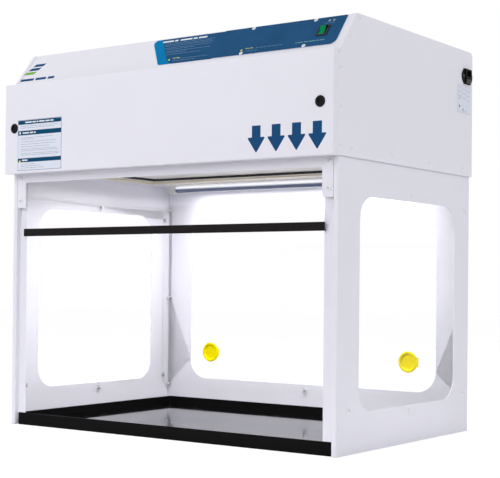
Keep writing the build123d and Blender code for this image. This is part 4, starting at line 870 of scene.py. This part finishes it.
class HOOD_OT_emblem(bpy.types.Operator):
    """Lay plain arrows on the door and plain bars on the slope, as signs of falling air."""

    bl_idname = "hood.emblem"
    bl_label = "Emblem"

    arrows: IntProperty(name="Arrows", description="Number of arrows on the door", default=4, min=1)

    def execute(self, context):
        sizes, tones = context.scene.hood_sizes, context.scene.hood_colours
        self.height = sizes.print_height
        blue = printed("emblem_ink", tones.emblem)
        self.falling_air(sizes, blue)
        self.corner_bars(blue, printed("accent_ink", tones.accent))
        return {"FINISHED"}

    def falling_air(self, sizes, blue):
        """A row of plain arrows at the door's lower right corner."""
        low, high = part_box("access_door")
        pitch = sizes.arrow_area / self.arrows
        tip, half = 0.46 * pitch, sizes.arrow_height / 2
        shaft = 0.22 * pitch
        neck = 0.56 * tip - half * 0.3
        outline = rounded(
            [
                (-shaft, half, 1.0 * MM),
                (-shaft, neck, 0.0),
                (-tip, neck, 2.0 * MM),
                (0.0, -half, 2.0 * MM),
                (tip, neck, 2.0 * MM),
                (shaft, neck, 0.0),
                (shaft, half, 1.0 * MM),
            ]
        )
        right = high.x - 13.0 * MM
        work = bmesh.new()
        for i in range(self.arrows):
            place = (right - (i + 0.5) * pitch, low.y, low.z + 40.0 * MM)
            add_slab(work, outline, looking(place, (0, -1, 0), (1, 0, 0)), self.height)
        piece("door_arrows", work, blue, "door")

    def corner_bars(self, blue, green):
        """Three slanted bars and a line of short bars at the slope's left end."""
        film = film_place("slope_overlay")
        base = moved(film, -0.420, -45.0 * MM, -0.4 * MM)
        dark, light = bmesh.new(), bmesh.new()
        for i in range(3):
            bar = [(-20.0, -9.0), (14.0, -9.0), (20.0, 0.0), (-14.0, 0.0)]
            shift = (i - 1) * 13.0
            outline = [((x + shift * 0.6) * MM, (y + 4.5 + shift) * MM) for x, y in bar]
            add_slab(light if i == 0 else dark, outline, base, self.height)
        add_words(dark, moved(film, -0.450, -80.5 * MM, -0.4 * MM), 0.115, 8.0 * MM, self.height, 5)
        piece("corner_bars", dark, blue, "hood")
        piece("corner_accent", light, green, "hood")


class HOOD_OT_inlet(bpy.types.Operator):
    """Finish the power inlet and its drawer."""

    bl_idname = "hood.inlet"
    bl_label = "Power inlet"

    def execute(self, context):
        black = context.scene.hood_colours.black
        dress(moulded("inlet_black", black, 0.5, 0.1), "power_inlet")
        dress(moulded("drawer_black", shade(black, 1.5), 0.45, 0.3), "fuse_drawer")
        return {"FINISHED"}


class HOOD_OT_plugs(bpy.types.Operator):
    """Colour the soft port plugs."""

    bl_idname = "hood.plugs"
    bl_label = "Port plugs"

    def execute(self, context):
        dress(moulded("plug_vinyl", context.scene.hood_colours.plug, 0.6, 0.05), "port_plug_left", "port_plug_right")
        return {"FINISHED"}


class HOOD_OT_grille(bpy.types.Operator):
    """Perforate the diffuser sheet over the chamber, in two halves."""

    bl_idname = "hood.grille"
    bl_label = "Diffuser grille"

    border: FloatProperty(name="Border", description="Plain margin of the sheet", default=14.0 * MM, unit="LENGTH")

    def execute(self, context):
        tones, sizes = context.scene.hood_colours, context.scene.hood_sizes
        # The grille coat copies the ceiling coat with its painted warm shade, 3 % darker.
        coat = powder_coat("grille_coat", shade(tones.inner_paint_and_shade, 0.97), sizes.grain)
        low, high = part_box("diffuser_grille")
        half, deep = high.x - self.border, high.y - low.y - 2 * self.border
        columns, rows = round(half / sizes.grille_pitch), round(deep / sizes.grille_pitch)
        step_x, step_y = half / columns, deep / rows
        for name, start in (("diffuser_left", -half), ("diffuser_right", 0.0)):
            work = bmesh.new()
            tile = add_tile(work, step_x, step_y, sizes.grille_hole / 2, high.z - low.z)
            verts = [g for g in tile if isinstance(g, bmesh.types.BMVert)]
            place = (start + step_x / 2, low.y + self.border + step_y / 2, low.z)
            bmesh.ops.translate(work, vec=place, verts=verts)
            row = repeated(work, tile, (step_x, 0.0, 0.0), columns)
            repeated(work, row, (0.0, step_y, 0.0), rows)
            self.add_border(work, start, low, high, half)
            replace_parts(piece(name, work, coat, "hood"), "diffuser_grille")
        return {"FINISHED"}

    def add_border(self, work, start, low, high, half):
        """The plain strips in front, behind and at the outer end."""
        thick, middle = high.z - low.z, start + half / 2
        outer = (low.x + self.border / 2) if start < 0.0 else (high.x - self.border / 2)
        across = (low.y + high.y) / 2
        for y in (low.y + self.border / 2, high.y - self.border / 2):
            add_bar(work, Matrix.Translation((middle, y, low.z)), half, self.border, thick)
        add_bar(work, Matrix.Translation((outer, across, low.z)), self.border, high.y - low.y, thick)


class HOOD_OT_works(bpy.types.Operator):
    """Finish the filter, the blower and what holds them."""

    bl_idname = "hood.works"
    bl_label = "Filter and blower"

    def execute(self, context):
        zinc = bare_metal("galvanised", (0.52, 0.54, 0.55), 0.42, 0.12)
        dress(zinc, "plenum_box", "blower_deck", "intake_ring", "impeller")
        dress(zinc, "motor_bracket", "prefilter_rails", "lamp_ballast")
        dress(bare_metal("die_cast", (0.55, 0.55, 0.56), 0.5, 0.05), "motor_rotor", "motor_stator")
        dress(fibre_board("frame_board", (0.45, 0.31, 0.18)), "filter_frame")
        dress(pleated_paper("filter_paper", (0.80, 0.80, 0.78)), "filter_media")
        dress(open_foam("pad_foam", (0.16, 0.17, 0.18)), "prefilter_pad")
        dress(moulded("gasket_rubber", (0.010, 0.010, 0.010), 0.8, 0.2), "filter_gasket")
        return {"FINISHED"}


class HOOD_OT_lamp(bpy.types.Operator):
    """Light the tube and finish its holders."""

    bl_idname = "hood.lamp"
    bl_label = "Lamp"

    def execute(self, context):
        low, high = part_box("lamp_tube")
        # The tube's glass carries a painted highlight along its top and painted blue-grey shade below.
        dress(lamp_glass("tube_glass", low.z, high.z), "lamp_tube")
        dress(moulded("holder_white", (0.62, 0.62, 0.64), 0.4), "lamp_holders")
        return {"FINISHED"}


class HOOD_OT_studio(bpy.types.Operator):
    """Set up the floor, the lamps, the sky and the camera."""

    bl_idname = "hood.studio"
    bl_label = "Studio"

    outer_lamps = (
        ("key", (-1.6, -3.2, 2.6), 2.4),
        ("side", (3.4, -0.6, 2.0), 2.0),
        ("back", (-0.8, 3.2, 1.9), 2.4),
    )

    def execute(self, context):
        studio = context.scene.hood_studio
        context.scene.view_settings.view_transform = "Standard"
        self.sky(context, studio)
        self.floor(context, studio)
        self.lamps(context, studio)
        self.camera(context, studio)
        return {"FINISHED"}

    def sky(self, context, studio):
        """Even light on the hood, and plain white behind it."""
        world = bpy.data.worlds.new("studio_sky")
        context.scene.world = world
        g = Graph(world)
        even = g.node("ShaderNodeBackground", {}, {"Color": (0.99, 0.99, 1.0, 1.0), "Strength": studio.sky})
        white = g.node("ShaderNodeBackground", {}, {"Color": (1.0, 1.0, 1.0, 1.0), "Strength": 1.0})
        mixed = g.node("ShaderNodeMixShader", {}, {0: g.seen_as_white(), 1: even, 2: white})
        g.node("ShaderNodeOutputWorld", {}, {"Surface": mixed})

    def floor(self, context, studio):
        """A pale floor that keeps the shadow and is shown to the camera as nearly white."""
        g = Graph(bpy.data.materials.new("studio_floor"))
        matt = g.node("ShaderNodeBsdfDiffuse", {}, {"Color": (0.9, 0.9, 0.91, 1.0)})
        white = g.node("ShaderNodeEmission", {}, {"Strength": studio.floor_glow})
        shown = g.seen_as_white() * studio.floor_white
        mixed = g.node("ShaderNodeMixShader", {}, {0: shown, 1: matt, 2: white})
        g.node("ShaderNodeOutputMaterial", {}, {"Surface": mixed})
        work = bmesh.new()
        bmesh.ops.create_grid(work, x_segments=8, y_segments=8, size=9.0)
        mesh = bpy.data.meshes.new("studio_floor")
        work.to_mesh(mesh)
        work.free()
        mesh.materials.append(g.owner)
        floor = bpy.data.objects.new("studio_floor", mesh)
        floor.location.z = -0.3 * MM
        context.scene.collection.objects.link(floor)

    def lamps(self, context, studio):
        """Three lamps round the hood, and two that stand for its own light."""
        for name, place, size in self.outer_lamps:
            self.lamp(context, f"{name}_lamp", place, (0.0, 0.0, 0.5), (size, size), getattr(studio, name))
        low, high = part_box("diffuser_grille")
        middle = (low + high) / 2
        tube_low, tube_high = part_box("lamp_tube")
        tube = (tube_low + tube_high) / 2
        level = tube_low.z - 6.0 * MM
        wide, deep = 0.9 * (high.x - low.x), 0.8 * (high.y - low.y)
        below = (middle.x, middle.y, 0.0)
        air = self.lamp(context, "chamber_lamp", (middle.x, middle.y, level), below, (wide, deep), studio.chamber)
        behind = (tube.x, tube.y + 0.06, 0.0)
        strip = self.lamp(context, "tube_lamp", (tube.x, tube.y, level), behind, (wide, 0.02), studio.tube)
        for lamp in (air, strip):
            lamp.visible_camera = False
            lamp.visible_glossy = False
            lamp.visible_transmission = False

    def lamp(self, context, name, place, target, size, energy):
        """One rectangular lamp that faces a target."""
        data = bpy.data.lights.new(name, "AREA")
        data.energy = energy
        data.shape = "RECTANGLE"
        data.size, data.size_y = size
        lamp = bpy.data.objects.new(name, data)
        lamp.location = place
        lamp.rotation_euler = (Vector(target) - Vector(place)).to_track_quat("-Z", "Y").to_euler()
        context.scene.collection.objects.link(lamp)
        return lamp

    def camera(self, context, studio):
        """The camera, with its optical centre away from the picture's middle."""
        data = bpy.data.cameras.new("camera")
        data.sensor_fit = "HORIZONTAL"
        data.lens = data.sensor_width * studio.focal_pixels / studio.picture_width
        data.shift_x = (studio.picture_width / 2 - studio.centre_x) / studio.picture_width
        data.shift_y = (studio.centre_y - studio.picture_height / 2) / studio.picture_width
        data.clip_end = 50.0
        camera = bpy.data.objects.new("camera", data)
        turn = (
            Matrix.Rotation(studio.yaw, 4, "Z")
            @ Matrix.Rotation(pi / 2 + studio.pitch, 4, "X")
            @ Matrix.Rotation(studio.roll, 4, "Z")
        )
        camera.matrix_world = Matrix.Translation(studio.camera_place) @ turn
        context.scene.collection.objects.link(camera)
        context.scene.camera = camera


PIECES = (
    HOOD_OT_paintwork,
    HOOD_OT_tray,
    HOOD_OT_panes,
    HOOD_OT_fasteners,
    HOOD_OT_locks,
    HOOD_OT_control_panel,
    HOOD_OT_switch,
    HOOD_OT_labels,
    HOOD_OT_emblem,
    HOOD_OT_inlet,
    HOOD_OT_plugs,
    HOOD_OT_grille,
    HOOD_OT_works,
    HOOD_OT_lamp,
    HOOD_OT_studio,
)


class HOOD_PT_sidebar(bpy.types.Panel):
    """The hood's pieces and settings."""

    bl_idname = "HOOD_PT_sidebar"
    bl_label = "Flow Hood"
    bl_space_type = "VIEW_3D"
    bl_region_type = "UI"
    bl_category = "Hood"

    def draw(self, context):
        for step in PIECES:
            self.layout.operator(step.bl_idname)
        for group in GROUPS:
            settings = getattr(context.scene, group)
            box = self.layout.box()
            for name in settings.__annotations__:
                box.prop(settings, name)


GROUPS = {"hood_colours": HoodColours, "hood_sizes": HoodSizes, "hood_studio": HoodStudio}


def register():
    """Adds the settings, operators and panel."""
    for name, group in GROUPS.items():
        bpy.utils.register_class(group)
        setattr(bpy.types.Scene, name, PointerProperty(type=group))
    for item in (*PIECES, HOOD_PT_sidebar):
        bpy.utils.register_class(item)


def unregister():
    """Takes them out again."""
    for item in (HOOD_PT_sidebar, *reversed(PIECES)):
        bpy.utils.unregister_class(item)
    for name, group in GROUPS.items():
        delattr(bpy.types.Scene, name)
        bpy.utils.unregister_class(group)


def main():
    """Dresses the hood."""
    register()
    for step in PIECES:
        family, action = step.bl_idname.split(".")
        getattr(getattr(bpy.ops, family), action)()


if __name__ == "__main__":
    main()
